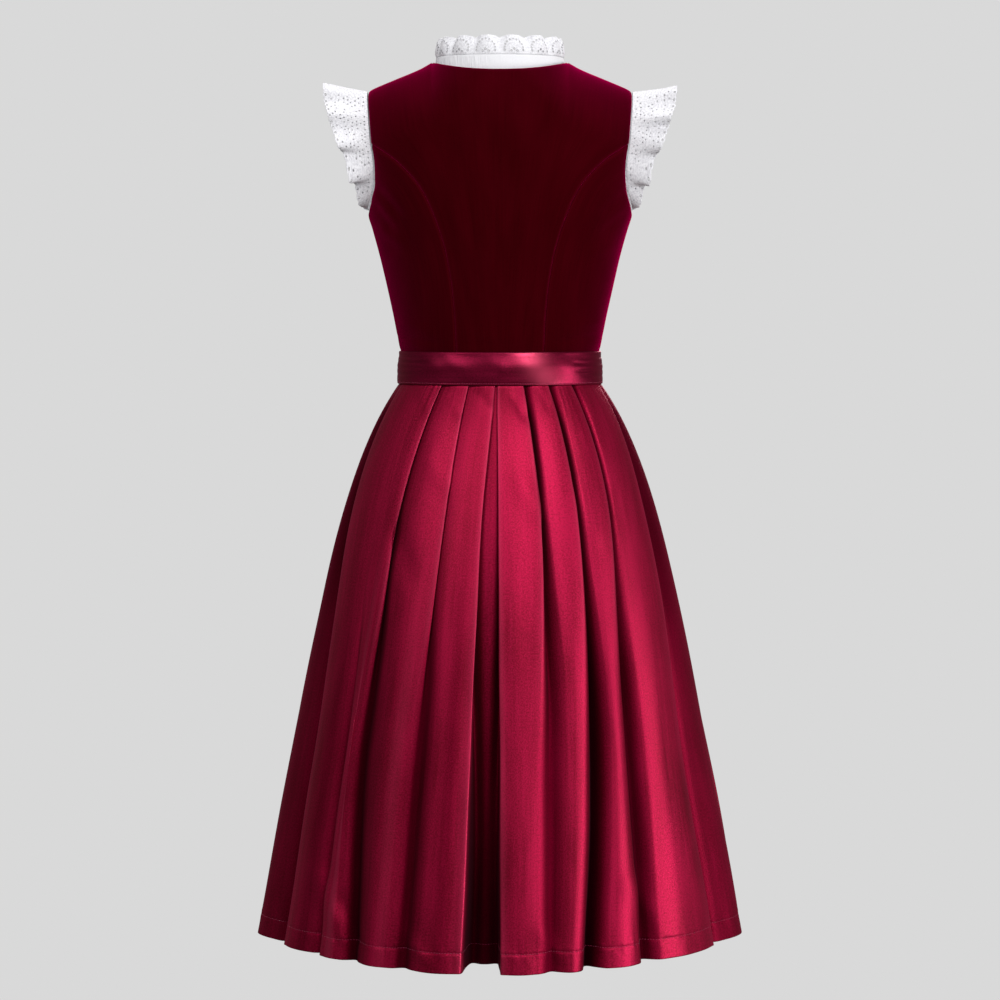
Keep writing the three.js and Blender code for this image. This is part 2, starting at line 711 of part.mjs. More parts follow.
function addApron() {
  const drops = [apronLength, 500, 360, 240, 150, 80, 30, 1];
  const turns = numbersBetween(180 - apronSideTurn, 180 + apronSideTurn, apronWaves * 2);
  const grid = (out) => drops.map((drop) => turns.map((turn) => apronPoint(turn, drop, out)));
  wallSolid("apron_panel", grid(satinWall), grid(0), apronSatin);
}

// The apron's band, all round the waist: its outer face at a turn and height.
function bandPoint(turn, z, out = 0) {
  const down = (bandTopZ - z) / (bandTopZ - bandBottomZ);
  const angle = radians(turn);
  const cosine = Math.cos(angle);
  const grow = bandSwell * smoothstep(down, 0, 0.5) + out;
  const depth = (cosine > 0 ? bandWaist.back : bandWaist.front) + grow;
  const y = -Math.sign(cosine) * depth * Math.abs(cosine) ** torsoRoundness;
  return new THREE.Vector3((bandWaist.half + grow) * Math.sin(angle), y, z);
}

function addBand() {
  const turns = numbersBetween(0, 360, 44).slice(0, -1);
  const heights = [bandBottomZ + 0.3, (bandTopZ + bandBottomZ) / 2, bandTopZ];
  const grid = (out) => heights.map((z) => turns.map((turn) => bandPoint(turn, z, out)));
  wallSolid("apron_band", grid(0), grid(-satinWall), apronSatin, true);
}

// The bow: a knot on the band, two loops and two tails over the apron.
function addBow() {
  const middleZ = (bandTopZ + bandBottomZ) / 2;
  const perDegree = bandPoint(bowTurn + 0.5, middleZ).distanceTo(bandPoint(bowTurn - 0.5, middleZ));
  // A place beside the knot, out from the band and up; below the band it clears the skirt.
  const place = (side, forward, up) => {
    const turn = bowTurn + side / perDegree;
    const z = middleZ + up;
    const base = bandPoint(turn, clamp(z, bandBottomZ, bandTopZ)).setZ(z);
    const outward = torsoNormal(turn, bandTopZ).setZ(0).normalize();
    const clear = Math.max(0, bandBottomZ - z) * bowStandOff;
    return base.addScaledVector(outward, forward + clear);
  };

  const knot = new THREE.Mesh(new THREE.SphereGeometry(1, 10, 7), apronSatin);
  knot.name = "bow_knot";
  knot.scale.copy(knotHalf);
  knot.rotation.z = radians(bowTurn);
  knot.position.copy(place(0, knotHalf.y, 0));
  dirndl.add(knot);

  // A loop leaves the knot, swings out and comes back behind itself.
  const loopRows = [
    { side: 13.8, forward: 10, tall: 9, up: 0 },
    { side: 38, forward: 19, tall: 15, up: 3 },
    { side: 62, forward: 20, tall: 19, up: 0 },
    { side: 78, forward: 13, tall: 18, up: -5 },
    { side: 73, forward: 7, tall: 17, up: -6 },
    { side: 54, forward: 8, tall: 16, up: -2 },
    { side: 34, forward: 9, tall: 13, up: 1 },
    { side: 14.2, forward: 7, tall: 9, up: 0 },
  ];
  const path = loopRows.map((row) => new THREE.Vector2(row.side, row.forward));
  for (const [name, sign] of [["bow_loop_outer", 1], ["bow_loop_inner", -1]]) {
    const face = (distance) =>
      [-1, 1].map((edge) =>
        closedLineMoved(path, distance).map((point, i) =>
          place(sign * point.x, point.y, loopRows[i].up + edge * loopRows[i].tall),
        ),
      );
    wallSolid(name, face(satinWall / 2), face(-satinWall / 2), apronSatin, true);
  }

  const tailRows = [
    { drop: -4.2, width: 14, sway: -7.5, off: 7.5 },
    { drop: 20, width: 24, sway: 2, off: 9 },
    { drop: 60, width: 34, sway: 5, off: 8 },
    { drop: 120, width: 38, sway: 9, off: 7 },
    { drop: 190, width: tieWidth, sway: 12, off: 7 },
    { drop: 260, width: tieWidth, sway: 14, off: 7 },
    { drop: 330, width: tieWidth, sway: 17, off: 7 },
  ];
  for (const [name, sign, shorter] of [["bow_tail_inner", 1, 1], ["bow_tail_outer", -1, 0.86]]) {
    const grid = (face) =>
      [...tailRows].reverse().map((row) =>
        [-1, 0, 1].map((edge) => {
          const drop = row.drop > 0 ? row.drop * shorter : row.drop;
          const middle = sign * (tailSpread.start + row.sway + row.width * tailSpread.share);
          const shift = middle + edge * row.width * 0.5;
          const spot = skirtSpot(bowTurn, Math.max(drop, 0), -shift, 0);
          const turn = turnOf(spot, Math.max(drop, 0));
          const cup = tailCup * Math.cos(edge * 2 + drop * 0.02);
          const lift = row.off + (sign > 0 ? 0 : outerTailLift) + cup;
          const base = drop > 0 ? apronPoint(turn, drop, 0) : bandPoint(turn, bandBottomZ - drop);
          const normal = new THREE.Vector3(base.x / 1.4, base.y, 0).normalize();
          return base.addScaledVector(normal, lift + face);
        }),
      );
    wallSolid(name, grid(satinWall), grid(0), apronSatin);
  }
}

// Turn from centre back of a section point.
function turnOf(point, drop) {
  const share = clamp(point.x / skirtSize(drop, "half"), -1, 1);
  return 180 - degrees(Math.asin(share));
}

// The same as movedLine for a line that closes on itself.
function closedLineMoved(points, distance) {
  const count = points.length;
  const wrapped = [points[count - 1], ...points, points[0]];
  return movedLine(wrapped, distance).slice(1, -1);
}

// A round button, flat behind and domed in front, facing along a direction.
function addButton(name, at, facing, radius, material) {
  const profile = [
    new THREE.Vector2(0, 0),
    new THREE.Vector2(radius, 0),
    new THREE.Vector2(radius * 0.9, buttonHeight * 0.6),
    new THREE.Vector2(0, buttonHeight),
  ];
  const mesh = new THREE.Mesh(new THREE.LatheGeometry(profile, 9), material);
  mesh.name = name;
  mesh.position.copy(at);
  mesh.quaternion.setFromUnitVectors(new THREE.Vector3(0, 1, 0), facing);
  dirndl.add(mesh);
}

// Metal buttons beside the front closing, and small ones on the blouse's placket.
function addButtons() {
  const { lowZ, highZ, count, besideMiddle, radius } = bodiceButtons;
  numbersBetween(lowZ, highZ, count - 1).forEach((z, i) => {
    const turn = torsoTurn(besideMiddle, z, true);
    const facing = torsoNormal(turn, z);
    const at = torsoPoint(turn, z).addScaledVector(facing, seamGap);
    addButton(`bodice_button_${i + 1}`, at, facing, radius, metal);
  });
  const small = blouseButtons;
  numbersBetween(small.lowZ, small.highZ, small.count - 1).forEach((z, i) => {
    const facing = torsoNormal(180, z);
    const at = torsoPoint(180, z).addScaledVector(facing, 2 * seamGap - velvetWall - blouseEase);
    addButton(`blouse_button_${i + 1}`, at, facing, small.radius, cotton);
  });
}

addBodice();
addBlousePanel("blouse_back", false);
addBlousePanel("blouse_front", true);
addCollar();
addSleeveFrill("sleeve_frill_right", 1);
addSleeveFrill("sleeve_frill_left", -1);
addSkirtPiece("skirt_back", backFolds, false);
addSkirtPiece("skirt_front", frontFolds, true);
addBand();
addApron();
addBow();
addButtons();

export default dirndl;
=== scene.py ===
import math

import bpy
import numpy as np
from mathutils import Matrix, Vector
from mathutils.geometry import delaunay_2d_cdt


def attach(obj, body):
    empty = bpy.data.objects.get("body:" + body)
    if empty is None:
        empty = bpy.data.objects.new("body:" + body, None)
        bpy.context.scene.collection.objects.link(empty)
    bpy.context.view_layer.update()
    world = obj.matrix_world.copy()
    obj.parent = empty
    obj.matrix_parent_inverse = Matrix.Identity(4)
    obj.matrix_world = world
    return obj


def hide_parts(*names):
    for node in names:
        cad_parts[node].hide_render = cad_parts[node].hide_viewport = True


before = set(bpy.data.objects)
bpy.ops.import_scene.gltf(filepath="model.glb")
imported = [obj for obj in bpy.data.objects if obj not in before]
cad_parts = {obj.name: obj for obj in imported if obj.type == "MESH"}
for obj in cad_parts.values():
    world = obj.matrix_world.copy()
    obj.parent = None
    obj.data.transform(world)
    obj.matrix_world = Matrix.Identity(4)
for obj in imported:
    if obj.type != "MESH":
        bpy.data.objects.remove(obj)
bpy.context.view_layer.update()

# Shapes are worked out in millimetres and turned into metres when a mesh is made.
# The back of the dress faces -Y, +X is the wearer's right, and 0 is the middle of the neck.
mm = 0.001
tiny = 1e-9  # keeps a length from being divided by nothing
level = np.array([1.0, 1.0, 0.0])  # takes the upright share out of a direction
scene = bpy.context.scene

camera = {
    "place": (0.0, -3.5, -0.294),
    "target": (0.0, 0.0, -0.5428),
    "lens": 100.8,
    "sensor": 36,
    "clip": (0.1, 60),
}
studio = {
    "pale": (0.694, 0.694, 0.694, 1),
    "matt": (0.75, 0.75, 0.75, 1),
    "worldStrength": 0.3,
    "floorZ": -1.42,
    "floorHalf": 14.0,
    "shadowReach": (0.25, 0.8),  # metres from the middle, full and gone
    "shadowLift": 0.5,  # how much the floor glows inside the shadow
    # where each lamp stands and aims, in metres, its width and its power
    "lights": [
        {"name": "keyLight", "at": (0.8, -2.8, 1.05), "to": (0, 0, -0.6), "size": 1.5, "watts": 60},
        {"name": "sideLight", "at": (2.8, -1.4, -0.9), "to": (0, 0, -0.8), "size": 1.5, "watts": 56},
        {"name": "fillLight", "at": (-1.9, -2.5, 1.2), "to": (0, 0, -0.3), "size": 1.6, "watts": 38},
        {"name": "topLight", "at": (0.2, 0.4, 2.3), "to": (0, 0, -0.3), "size": 2.0, "watts": 52},
        {"name": "frontLight", "at": (0.6, 3.4, 0.8), "to": (0, 0, -0.6), "size": 2.2, "watts": 50},
    ],
}


def turnedTo(thing, target):
    away = Vector(target) - thing.location
    thing.rotation_mode = "QUATERNION"
    thing.rotation_quaternion = away.to_track_quat("-Z", "Y")


def addCamera():
    data = bpy.data.cameras.new("camera")
    data.lens = camera["lens"]
    data.sensor_width = camera["sensor"]
    data.clip_start, data.clip_end = camera["clip"]
    thing = bpy.data.objects.new("camera", data)
    scene.collection.objects.link(thing)
    thing.location = camera["place"]
    turnedTo(thing, camera["target"])
    scene.camera = thing


def addNode(tree, kind, sockets=None, **settings):
    made = tree.nodes.new("ShaderNode" + kind)
    for key, value in settings.items():
        setattr(made, key, value)
    for key, value in (sockets or {}).items():
        if isinstance(value, bpy.types.NodeSocket):
            tree.links.new(value, made.inputs[key])
        else:
            made.inputs[key].default_value = value
    return made


def spreadValue(tree, value, start, end, low=0.0, high=1.0):
    # low at start and high at end, and between them in proportion
    sockets = {"Value": value, 1: start, 2: end, 3: low, 4: high}
    return addNode(tree, "MapRange", sockets).outputs[0]


def blendValue(tree, share, first, second):
    sockets = {0: share, 2: first, 3: second}
    return addNode(tree, "Mix", sockets, data_type="FLOAT").outputs[0]


def blendTone(tree, share, first, second):
    # from one colour to another, of which the first may come from a node
    if not isinstance(first, bpy.types.NodeSocket):
        first = (*first, 1)
    sockets = {0: share, 6: first, 7: (*second, 1)}
    return addNode(tree, "Mix", sockets, data_type="RGBA").outputs[2]


def addStudio():
    world = bpy.data.worlds.new("paleRoom")
    scene.world = world
    world.use_nodes = True
    tree = world.node_tree
    background = tree.nodes["Background"]
    background.inputs["Color"].default_value = studio["pale"]
    # the walls look pale but light the cloth only a little
    seen = addNode(tree, "LightPath").outputs["Is Camera Ray"]
    strength = spreadValue(tree, seen, 0.0, 1.0, studio["worldStrength"], 1.0)
    tree.links.new(strength, background.inputs["Strength"])

    half, z = studio["floorHalf"], studio["floorZ"]
    mesh = bpy.data.meshes.new("floor")
    corners = [(-half, -half, z), (half, -half, z), (half, half, z), (-half, half, z)]
    mesh.from_pydata(corners, [], [(0, 1, 2, 3)])
    floor = bpy.data.objects.new("floor", mesh)
    scene.collection.objects.link(floor)
    floor.visible_diffuse = floor.visible_glossy = False
    # the floor glows like the room, and takes a soft shadow only close to the dress
    material = bpy.data.materials.new("paleFloor")
    material.use_nodes = True
    tree = material.node_tree
    tree.nodes.clear()
    place = addNode(tree, "TexCoord").outputs["Object"]
    flat = addNode(tree, "VectorMath", {0: place, 1: (1, 1, 0)}, operation="MULTIPLY")
    away = addNode(tree, "VectorMath", {0: flat.outputs[0]}, operation="LENGTH").outputs["Value"]
    fade = spreadValue(tree, away, *studio["shadowReach"], studio["shadowLift"], 1.0)
    glow = addNode(tree, "Emission", {"Color": studio["pale"]})
    matt = addNode(tree, "BsdfDiffuse", {"Color": studio["matt"]})
    mixed = addNode(tree, "MixShader", {0: fade, 1: matt.outputs[0], 2: glow.outputs[0]})
    addNode(tree, "OutputMaterial", {"Surface": mixed.outputs[0]})
    mesh.materials.append(material)

    for row in studio["lights"]:
        data = bpy.data.lights.new(row["name"], "AREA")
        data.shape = "DISK"
        data.size = row["size"]
        data.energy = row["watts"]
        thing = bpy.data.objects.new(row["name"], data)
        scene.collection.objects.link(thing)
        thing.location = row["at"]
        turnedTo(thing, row["to"])
    scene.view_settings.view_transform = "Standard"
    scene.view_settings.look = "None"


addCamera()
addStudio()
print("camera, floor and lights are set")

satinWeave = {
    # how often each unevenness comes in a metre, across the cloth and along it
    "blotches": (22, 7),
    "streaks": (260, 9),
    "specks": (620, 460),
    "floats": (2600, 420),
    "grain": (900, 900),
    "streakShare": 0.35,
    "speckShare": 0.62,
    "height": 0.0004,
}
satinLook = {
    "dark": (0.155, 0.0, 0.011),
    "light": (0.37, 0.003, 0.042),
    # painted highlight for pressed edges and lit panels, and painted shade for the inside of folds
    "edge": (0.55, 0.05, 0.12),
    "deep": (0.012, 0.0, 0.001),
    "metallic": 0.7,
    "shine": (1.0, 0.42, 0.52, 1),
    "specular": 0.5,
    "insideRoughness": 0.85,  # of the painted shade inside the folds
    "roughness": (0.37, 0.49),
    "sheen": 0.02,
    "sheenTint": (1.0, 0.35, 0.5, 1),
    "weave": 0.55,
}
apronLook = {
    "dark": (0.085, 0.0006, 0.01),
    "light": (0.19, 0.002, 0.026),
    # painted highlight for the band's gleam, and painted shade for the inside of folds
    "edge": (0.45, 0.04, 0.09),
    "deep": (0.02, 0.001, 0.004),
    "metallic": 0.75,
    "shine": (1.0, 0.36, 0.48, 1),
    "specular": 0.5,
    "insideRoughness": 0.85,
    "roughness": (0.29, 0.39),
    "sheen": 0.02,
    "sheenTint": (1.0, 0.4, 0.55, 1),
    "weave": 0.2,
}
velvetLook = {
    "deep": (0.024, 0.0002, 0.0007),
    "warm": (0.036, 0.0003, 0.0016),
    "seam": (0.055, 0.0005, 0.0035),
    "roughness": 0.95,
    "sheenTint": (0.6, 0.0, 0.1, 1),
    "sheenRoughness": 0.42,
    "pile": (0.35, 0.0008),  # strength and height
}
cottonLook = {
    "white": (0.8, 0.8, 0.82),
    "shade": (0.74, 0.735, 0.77),
    "fleck": (0.45, 0.44, 0.48),
    "rim": (0.13, 0.125, 0.14),  # shade inside the eyelets
    "thread": (0.3, 0.02, 0.07, 1),
    "roughness": 0.85,
    "weave": (0.25, 0.0002),  # strength and height
}
metalLook = {
    "bright": (0.58, 0.55, 0.5),
    "dark": (0.16, 0.14, 0.12),
    "roughness": (0.5, 0.28),
}


def startMaterial(name):
    material = bpy.data.materials.new(name)
    material.use_nodes = True
    tree = material.node_tree
    return material, tree, tree.nodes["Principled BSDF"]


def setSockets(shader, values):
    for name, value in values.items():
        shader.inputs[name].default_value = value


def addBump(tree, shader, height, strength, distance):
    bump = addNode(tree, "Bump", {"Height": height, "Strength": strength, "Distance": distance})
    tree.links.new(bump.outputs[0], shader.inputs["Normal"])


def clothPlace(tree, across, along):
    # cloth coordinates in metres, stretched to threads
    uv = addNode(tree, "UVMap", uv_map="cloth").outputs[0]
    return addNode(tree, "Mapping", {"Vector": uv, "Scale": (across, along, 1)}).outputs[0]


def noiseFrom(tree, place, scale=1.0, detail=2.0, roughness=0.5):
    sockets = {"Vector": place, "Scale": scale, "Detail": detail, "Roughness": roughness}
    return addNode(tree, "TexNoise", sockets).outputs["Fac"]


def clothNoise(tree, pitch, detail, roughness=0.5):
    return noiseFrom(tree, clothPlace(tree, *pitch), detail=detail, roughness=roughness)


def readPaintedLightAndSeamTone(tree):
    # above 0 for painted highlights on pressed edges, panels and the band, for the lighter tone
    # beside seams and for painted shade in eyelet rims; below 0 for painted shade inside folds
    return addNode(tree, "Attribute", attribute_name="paintedLightAndSeamTone").outputs["Fac"]


def makeSatin(name, look):
    weave = satinWeave
    material, tree, shader = startMaterial(name)
    blotches = clothNoise(tree, weave["blotches"], 3)
    streaks = clothNoise(tree, weave["streaks"], 2)
    mixed = blendValue(tree, weave["streakShare"], blotches, streaks)
    specks = clothNoise(tree, weave["specks"], 3, 0.8)
    grainy = blendValue(tree, weave["speckShare"], mixed, specks)
    tone = blendTone(tree, spreadValue(tree, grainy, 0.4, 0.6), look["dark"], look["light"])
    # painted light: the attribute paints highlights towards the edge colour and paints shade inside
    # the folds towards the deep colour
    fold = readPaintedLightAndSeamTone(tree)
    paintedShineAndSeamTone = blendTone(tree, fold, tone, look["edge"])
    # the painted shade inside the folds is also rougher and fully metallic, so that it reflects
    # little
    inside = addNode(tree, "Math", {0: fold, 1: -1.0}, operation="MULTIPLY").outputs[0]
    shaded = blendTone(tree, inside, paintedShineAndSeamTone, look["deep"])
    tree.links.new(shaded, shader.inputs["Base Color"])
    rough = spreadValue(tree, mixed, 0.3, 0.7, *look["roughness"])
    rough = blendValue(tree, inside, rough, look["insideRoughness"])
    tree.links.new(rough, shader.inputs["Roughness"])
    metallic = spreadValue(tree, inside, 0.0, 0.6, look["metallic"], 1.0)
    tree.links.new(metallic, shader.inputs["Metallic"])
    # satin floats run down the cloth, with fine ribs across
    floats = clothNoise(tree, weave["floats"], 1)
    threads = blendValue(tree, 0.5, floats, clothNoise(tree, weave["grain"], 2))
    addBump(tree, shader, threads, look["weave"], weave["height"])
    values = {
        "Specular IOR Level": look["specular"],
        "Specular Tint": look["shine"],
        "Sheen Weight": look["sheen"],
        "Sheen Roughness": 0.5,
        "Sheen Tint": look["sheenTint"],
    }
    setSockets(shader, values)
    return material


def makeVelvet():
    look = velvetLook
    material, tree, shader = startMaterial("velvetPile")
    brushed = clothNoise(tree, (30, 9), 3)
    mixed = blendValue(tree, 0.4, brushed, clothNoise(tree, (620, 14), 1))
    tone = blendTone(tree, spreadValue(tree, mixed, 0.35, 0.65), look["deep"], look["warm"])
    paintedShineAndSeamTone = blendTone(tree, readPaintedLightAndSeamTone(tree), tone, look["seam"])
    tree.links.new(paintedShineAndSeamTone, shader.inputs["Base Color"])
    pile = clothNoise(tree, (1500, 1500), 2)
    height = blendValue(tree, 0.6, pile, clothNoise(tree, (60, 40), 3))
    addBump(tree, shader, height, *look["pile"])
    values = {
        "Roughness": look["roughness"],
        "Specular IOR Level": 0.0,
        "Sheen Weight": 1.0,
        "Sheen Roughness": look["sheenRoughness"],
        "Sheen Tint": look["sheenTint"],
    }
    setSockets(shader, values)
    return material


def addPlainWeave(tree, shader, pitch):
    # warp and weft cross at a pitch given in waves to the metre
    warp = addNode(tree, "TexWave", {"Vector": clothPlace(tree, pitch, 1), "Scale": 1.0})
    sockets = {"Vector": clothPlace(tree, 1, pitch), "Scale": 1.0}
    weft = addNode(tree, "TexWave", sockets, bands_direction="Y")
    sockets = {0: warp.outputs["Fac"], 1: weft.outputs["Fac"]}
    threads = addNode(tree, "Math", sockets, operation="ADD").outputs[0]
    addBump(tree, shader, threads, *cottonLook["weave"])
    values = {
        "Roughness": cottonLook["roughness"],
        "Specular IOR Level": 0.2,
        "Sheen Weight": 0.15,
    }
    setSockets(shader, values)


def makeCotton(name, pitch, flecks):
    look = cottonLook
    material, tree, shader = startMaterial(name)
    cloud = clothNoise(tree, (40, 40), 3)
    tone = blendTone(tree, cloud, look["shade"], look["white"])
    # embroidery breaks the white into fine flecks
    fine = clothNoise(tree, (430, 430), 3, 0.7)
    fleck = spreadValue(tree, fine, 0.42, 0.66, 0.0, flecks)
    tone = blendTone(tree, fleck, tone, look["fleck"])
    tone = blendTone(tree, readPaintedLightAndSeamTone(tree), tone, look["rim"])
    tree.links.new(tone, shader.inputs["Base Color"])
    addPlainWeave(tree, shader, pitch)
    return material


def makeThread():
    material, tree, shader = startMaterial("sewingThread")
    shader.inputs["Base Color"].default_value = cottonLook["thread"]
    addPlainWeave(tree, shader, 4000)
    return material


def makeMetal():
    look = metalLook
    material, tree, shader = startMaterial("agedMetal")
    place = addNode(tree, "TexCoord").outputs["Object"]
    spots = noiseFrom(tree, place, scale=420, detail=4)
    tone = blendTone(tree, spreadValue(tree, spots, 0.38, 0.58), look["dark"], look["bright"])
    tree.links.new(tone, shader.inputs["Base Color"])
    rough = spreadValue(tree, spots, 0.3, 0.7, *look["roughness"])
    tree.links.new(rough, shader.inputs["Roughness"])
    shader.inputs["Metallic"].default_value = 1.0
    return material


satin = makeSatin("skirtSatin", satinLook)
apronSatin = makeSatin("apronSatin", apronLook)
velvet = makeVelvet()
cotton = makeCotton("plainCotton", 1600, 0.1)
broderie = makeCotton("broderieCotton", 1300, 0.7)
thread = makeThread()
metal = makeMetal()
print("finishes are made")


def reading(rows, column, value):
    # a smooth curve through the rows; the first column is what is looked up
    table = np.array(rows, float)
    keys, values = table[:, 0], table[:, column]
    at = np.clip(np.asarray(value, float), keys[0], keys[-1])
    before = np.maximum(np.arange(len(keys)) - 1, 0)
    after = np.minimum(np.arange(len(keys)) + 1, len(keys) - 1)
    slope = (values[after] - values[before]) / (keys[after] - keys[before])
    i = np.clip(np.searchsorted(keys, at, side="left") - 1, 0, len(keys) - 2)
    span = keys[i + 1] - keys[i]
    t = (at - keys[i]) / span
    return (
        (2 * t**3 - 3 * t**2 + 1) * values[i]
        + (t**3 - 2 * t**2 + t) * span * slope[i]
        + (3 * t**2 - 2 * t**3) * values[i + 1]
        + (t**3 - t**2) * span * slope[i + 1]
    )


def smoothStep(value, low, high):
    t = np.clip((value - low) / (high - low), 0, 1)
    return t * t * (3 - 2 * t)


def mix(a, b, t):
    return a + (b - a) * t


def hump(distance, reach):
    # 1 at no distance, soft down to nothing at about twice the reach
    return np.exp(-((distance / reach) ** 2))


def unit(direction):
    return direction / np.maximum(np.linalg.norm(direction, axis=-1, keepdims=True), tiny)


# A soft wandering value round 0, much like cloth that isn't quite even.
def wander(u, v, seed, turns=5):
    draw = np.random.default_rng(seed)
    total = 0
    for _ in range(turns):
        angle, phase, pitch = draw.uniform(0, math.tau, 3)
        rate = 0.6 + 0.25 * pitch
        bend = np.sin(u * 0.7 * rate + v * 0.5 + phase * 2)
        across = u * math.cos(angle) + v * math.sin(angle)
        total = total + np.sin(across * rate + phase + 0.8 * bend)
    return total / turns


# Height of creases over a cloth: each row is u0, v0, u1, v1, width and height in mm.
def creaseHeight(u, v, rows):
    total = np.zeros(np.broadcast(u, v).shape)
    for u0, v0, u1, v1, width, height in rows:
        du, dv = u1 - u0, v1 - v0
        length = math.hypot(du, dv)
        t = ((u - u0) * du + (v - v0) * dv) / length**2
        off = ((u - u0) * dv - (v - v0) * du) / length
        ends = smoothStep(t, -0.12, 0.25) * (1 - smoothStep(t, 0.7, 1.12))
        total += height * hump(off, width) * ends
    return total


def gridNormals(points):
    return unit(np.cross(np.gradient(points, axis=1), np.gradient(points, axis=0)))


# Moves a grid of points along its own outward normals.
def pushed(points, height, ring=False):
    if ring:
        wide = np.concatenate([points[:, -2:], points, points[:, :2]], axis=1)
        normal = gridNormals(wide)[:, 2:-2]
    else:
        normal = gridNormals(points)
    if (normal * points * level).sum() < 0:
        normal = -normal
    return points + normal * np.asarray(height)[..., None]


def meshPiece(name, points, faces, material, uvs=None, paintedLightAndSeamTone=None):
    mesh = bpy.data.meshes.new(name)
    mesh.from_pydata((points * mm).tolist(), [], faces)
    mesh.update()
    mesh.polygons.foreach_set("use_smooth", [True] * len(mesh.polygons))
    layer = mesh.uv_layers.new(name="cloth")
    corners = np.zeros(len(mesh.loops), int)
    mesh.loops.foreach_get("vertex_index", corners)
    flat = points[:, [0, 2]] if uvs is None else uvs
    layer.data.foreach_set("uv", (flat[corners] * mm).ravel())
    if paintedLightAndSeamTone is not None:
        attribute = mesh.attributes.new("paintedLightAndSeamTone", "FLOAT", "POINT")
        attribute.data.foreach_set("value", np.asarray(paintedLightAndSeamTone, float).ravel())
    mesh.materials.append(material)
    thing = bpy.data.objects.new(name, mesh)
    scene.collection.objects.link(thing)
    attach(thing, "root")
    return thing


# Hides the node of the part that a cloth or a button stands in for.
def standsFor(thing, node):
    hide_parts(node)


# A cloth from a grid of points: rows go down, columns go round.
def clothPiece(name, points, material, wall, ring=False, paintedLightAndSeamTone=None, grainRound=False):
    rowCount, columnCount = points.shape[:2]
    index = np.arange(rowCount * columnCount).reshape(rowCount, columnCount)
    if ring:
        index = np.concatenate([index, index[:, :1]], axis=1)
    quads = np.stack(
        [index[:-1, :-1], index[1:, :-1], index[1:, 1:], index[:-1, 1:]], axis=-1
    ).reshape(-1, 4)
    flat = points.reshape(-1, 3)
    corner = flat[quads]
    normal = np.cross(corner[:, 2] - corner[:, 0], corner[:, 3] - corner[:, 1])
    if (normal * corner.mean(axis=1) * level).sum() < 0:
        quads = quads[:, ::-1]
    stepAcross = np.linalg.norm(np.diff(points, axis=1), axis=2)
    across = np.concatenate([[0], np.cumsum(stepAcross.mean(axis=0))])
    stepDown = np.linalg.norm(np.diff(points, axis=0), axis=2)
    down = np.concatenate([[0], np.cumsum(stepDown.mean(axis=1))])
    uvs = np.stack(np.broadcast_arrays(across[None, :], down[:, None]), axis=-1).reshape(-1, 2)
    if grainRound:
        uvs = uvs[:, ::-1]
    thing = meshPiece(name, flat, quads.tolist(), material, uvs, paintedLightAndSeamTone)
    thicken(thing, wall)
    return thing


def thicken(thing, wall):
    solid = thing.modifiers.new("wall", "SOLIDIFY")
    solid.thickness = wall * mm
    solid.offset = -1
    weighted = thing.modifiers.new("normals", "WEIGHTED_NORMAL")
    weighted.keep_sharp = False


# A sewn line: short thread stitches lying along a path of points with outward directions.
def stitchRow(name, path, outward, material, pitch=2.6, length=1.7, radius=0.22):
    path, outward = np.asarray(path, float), np.asarray(outward, float)
    steps = np.linalg.norm(np.diff(path, axis=0), axis=1)
    travelled = np.concatenate([[0], np.cumsum(steps)])
    sides, rise = 5, 0.22  # how many sides a thread has, how far its middle stands up
    points, faces = [], []
    for start in np.arange(0, travelled[-1] - length, pitch):
        ends = [start, start + length * 0.5, start + length]
        spine = np.stack([np.interp(ends, travelled, path[:, k]) for k in range(3)], axis=1)
        facing = np.stack([np.interp(ends, travelled, outward[:, k]) for k in range(3)], axis=1)
        along = unit(spine[2] - spine[0])
        base = len(points)
        for at, out, lift in zip(spine, facing, (0.0, rise, 0.0)):
            side = unit(np.cross(along, out))
            for k in range(sides):
                angle = k * math.tau / sides
                ring = side * math.cos(angle) + out * math.sin(angle)
                points.append(at + out * lift + ring * radius)
        for first in (base, base + sides):
            for k in range(sides):
                a, b = first + k, first + (k + 1) % sides
                faces.append((a, b, b + sides, a + sides))
        faces.append(tuple(base + k for k in reversed(range(sides))))
        faces.append(tuple(base + 2 * sides + k for k in range(sides)))
    return meshPiece(name, np.array(points), faces, material)


# The body that the cloth follows: height, half-width, depth behind, depth in front.
torsoRows = [
    (-400, 122.0, 91.0, 95.0),
    (-372, 122.6, 91.4, 95.5),
    (-357, 123.4, 92.0, 96.0),
    (-350, 125.4, 93.5, 98.0),
    (-306, 134.0, 97.0, 108.0),
    (-246, 147.6, 103.0, 124.0),
    (-206, 158.5, 106.0, 132.0),
    (-186, 164.5, 107.0, 131.0),
    (-143, 170.0, 106.0, 122.0),
    (-102, 179.5, 102.0, 106.0),
    (-70, 187.6, 96.0, 92.0),
    (-36, 196.6, 84.0, 80.0),
    (0, 202.0, 66.0, 70.0),
]
shoulderRows = [(84.5, 0), (100, -8.5), (130, -21), (155, -31.5), (163, -36)]  # x, height
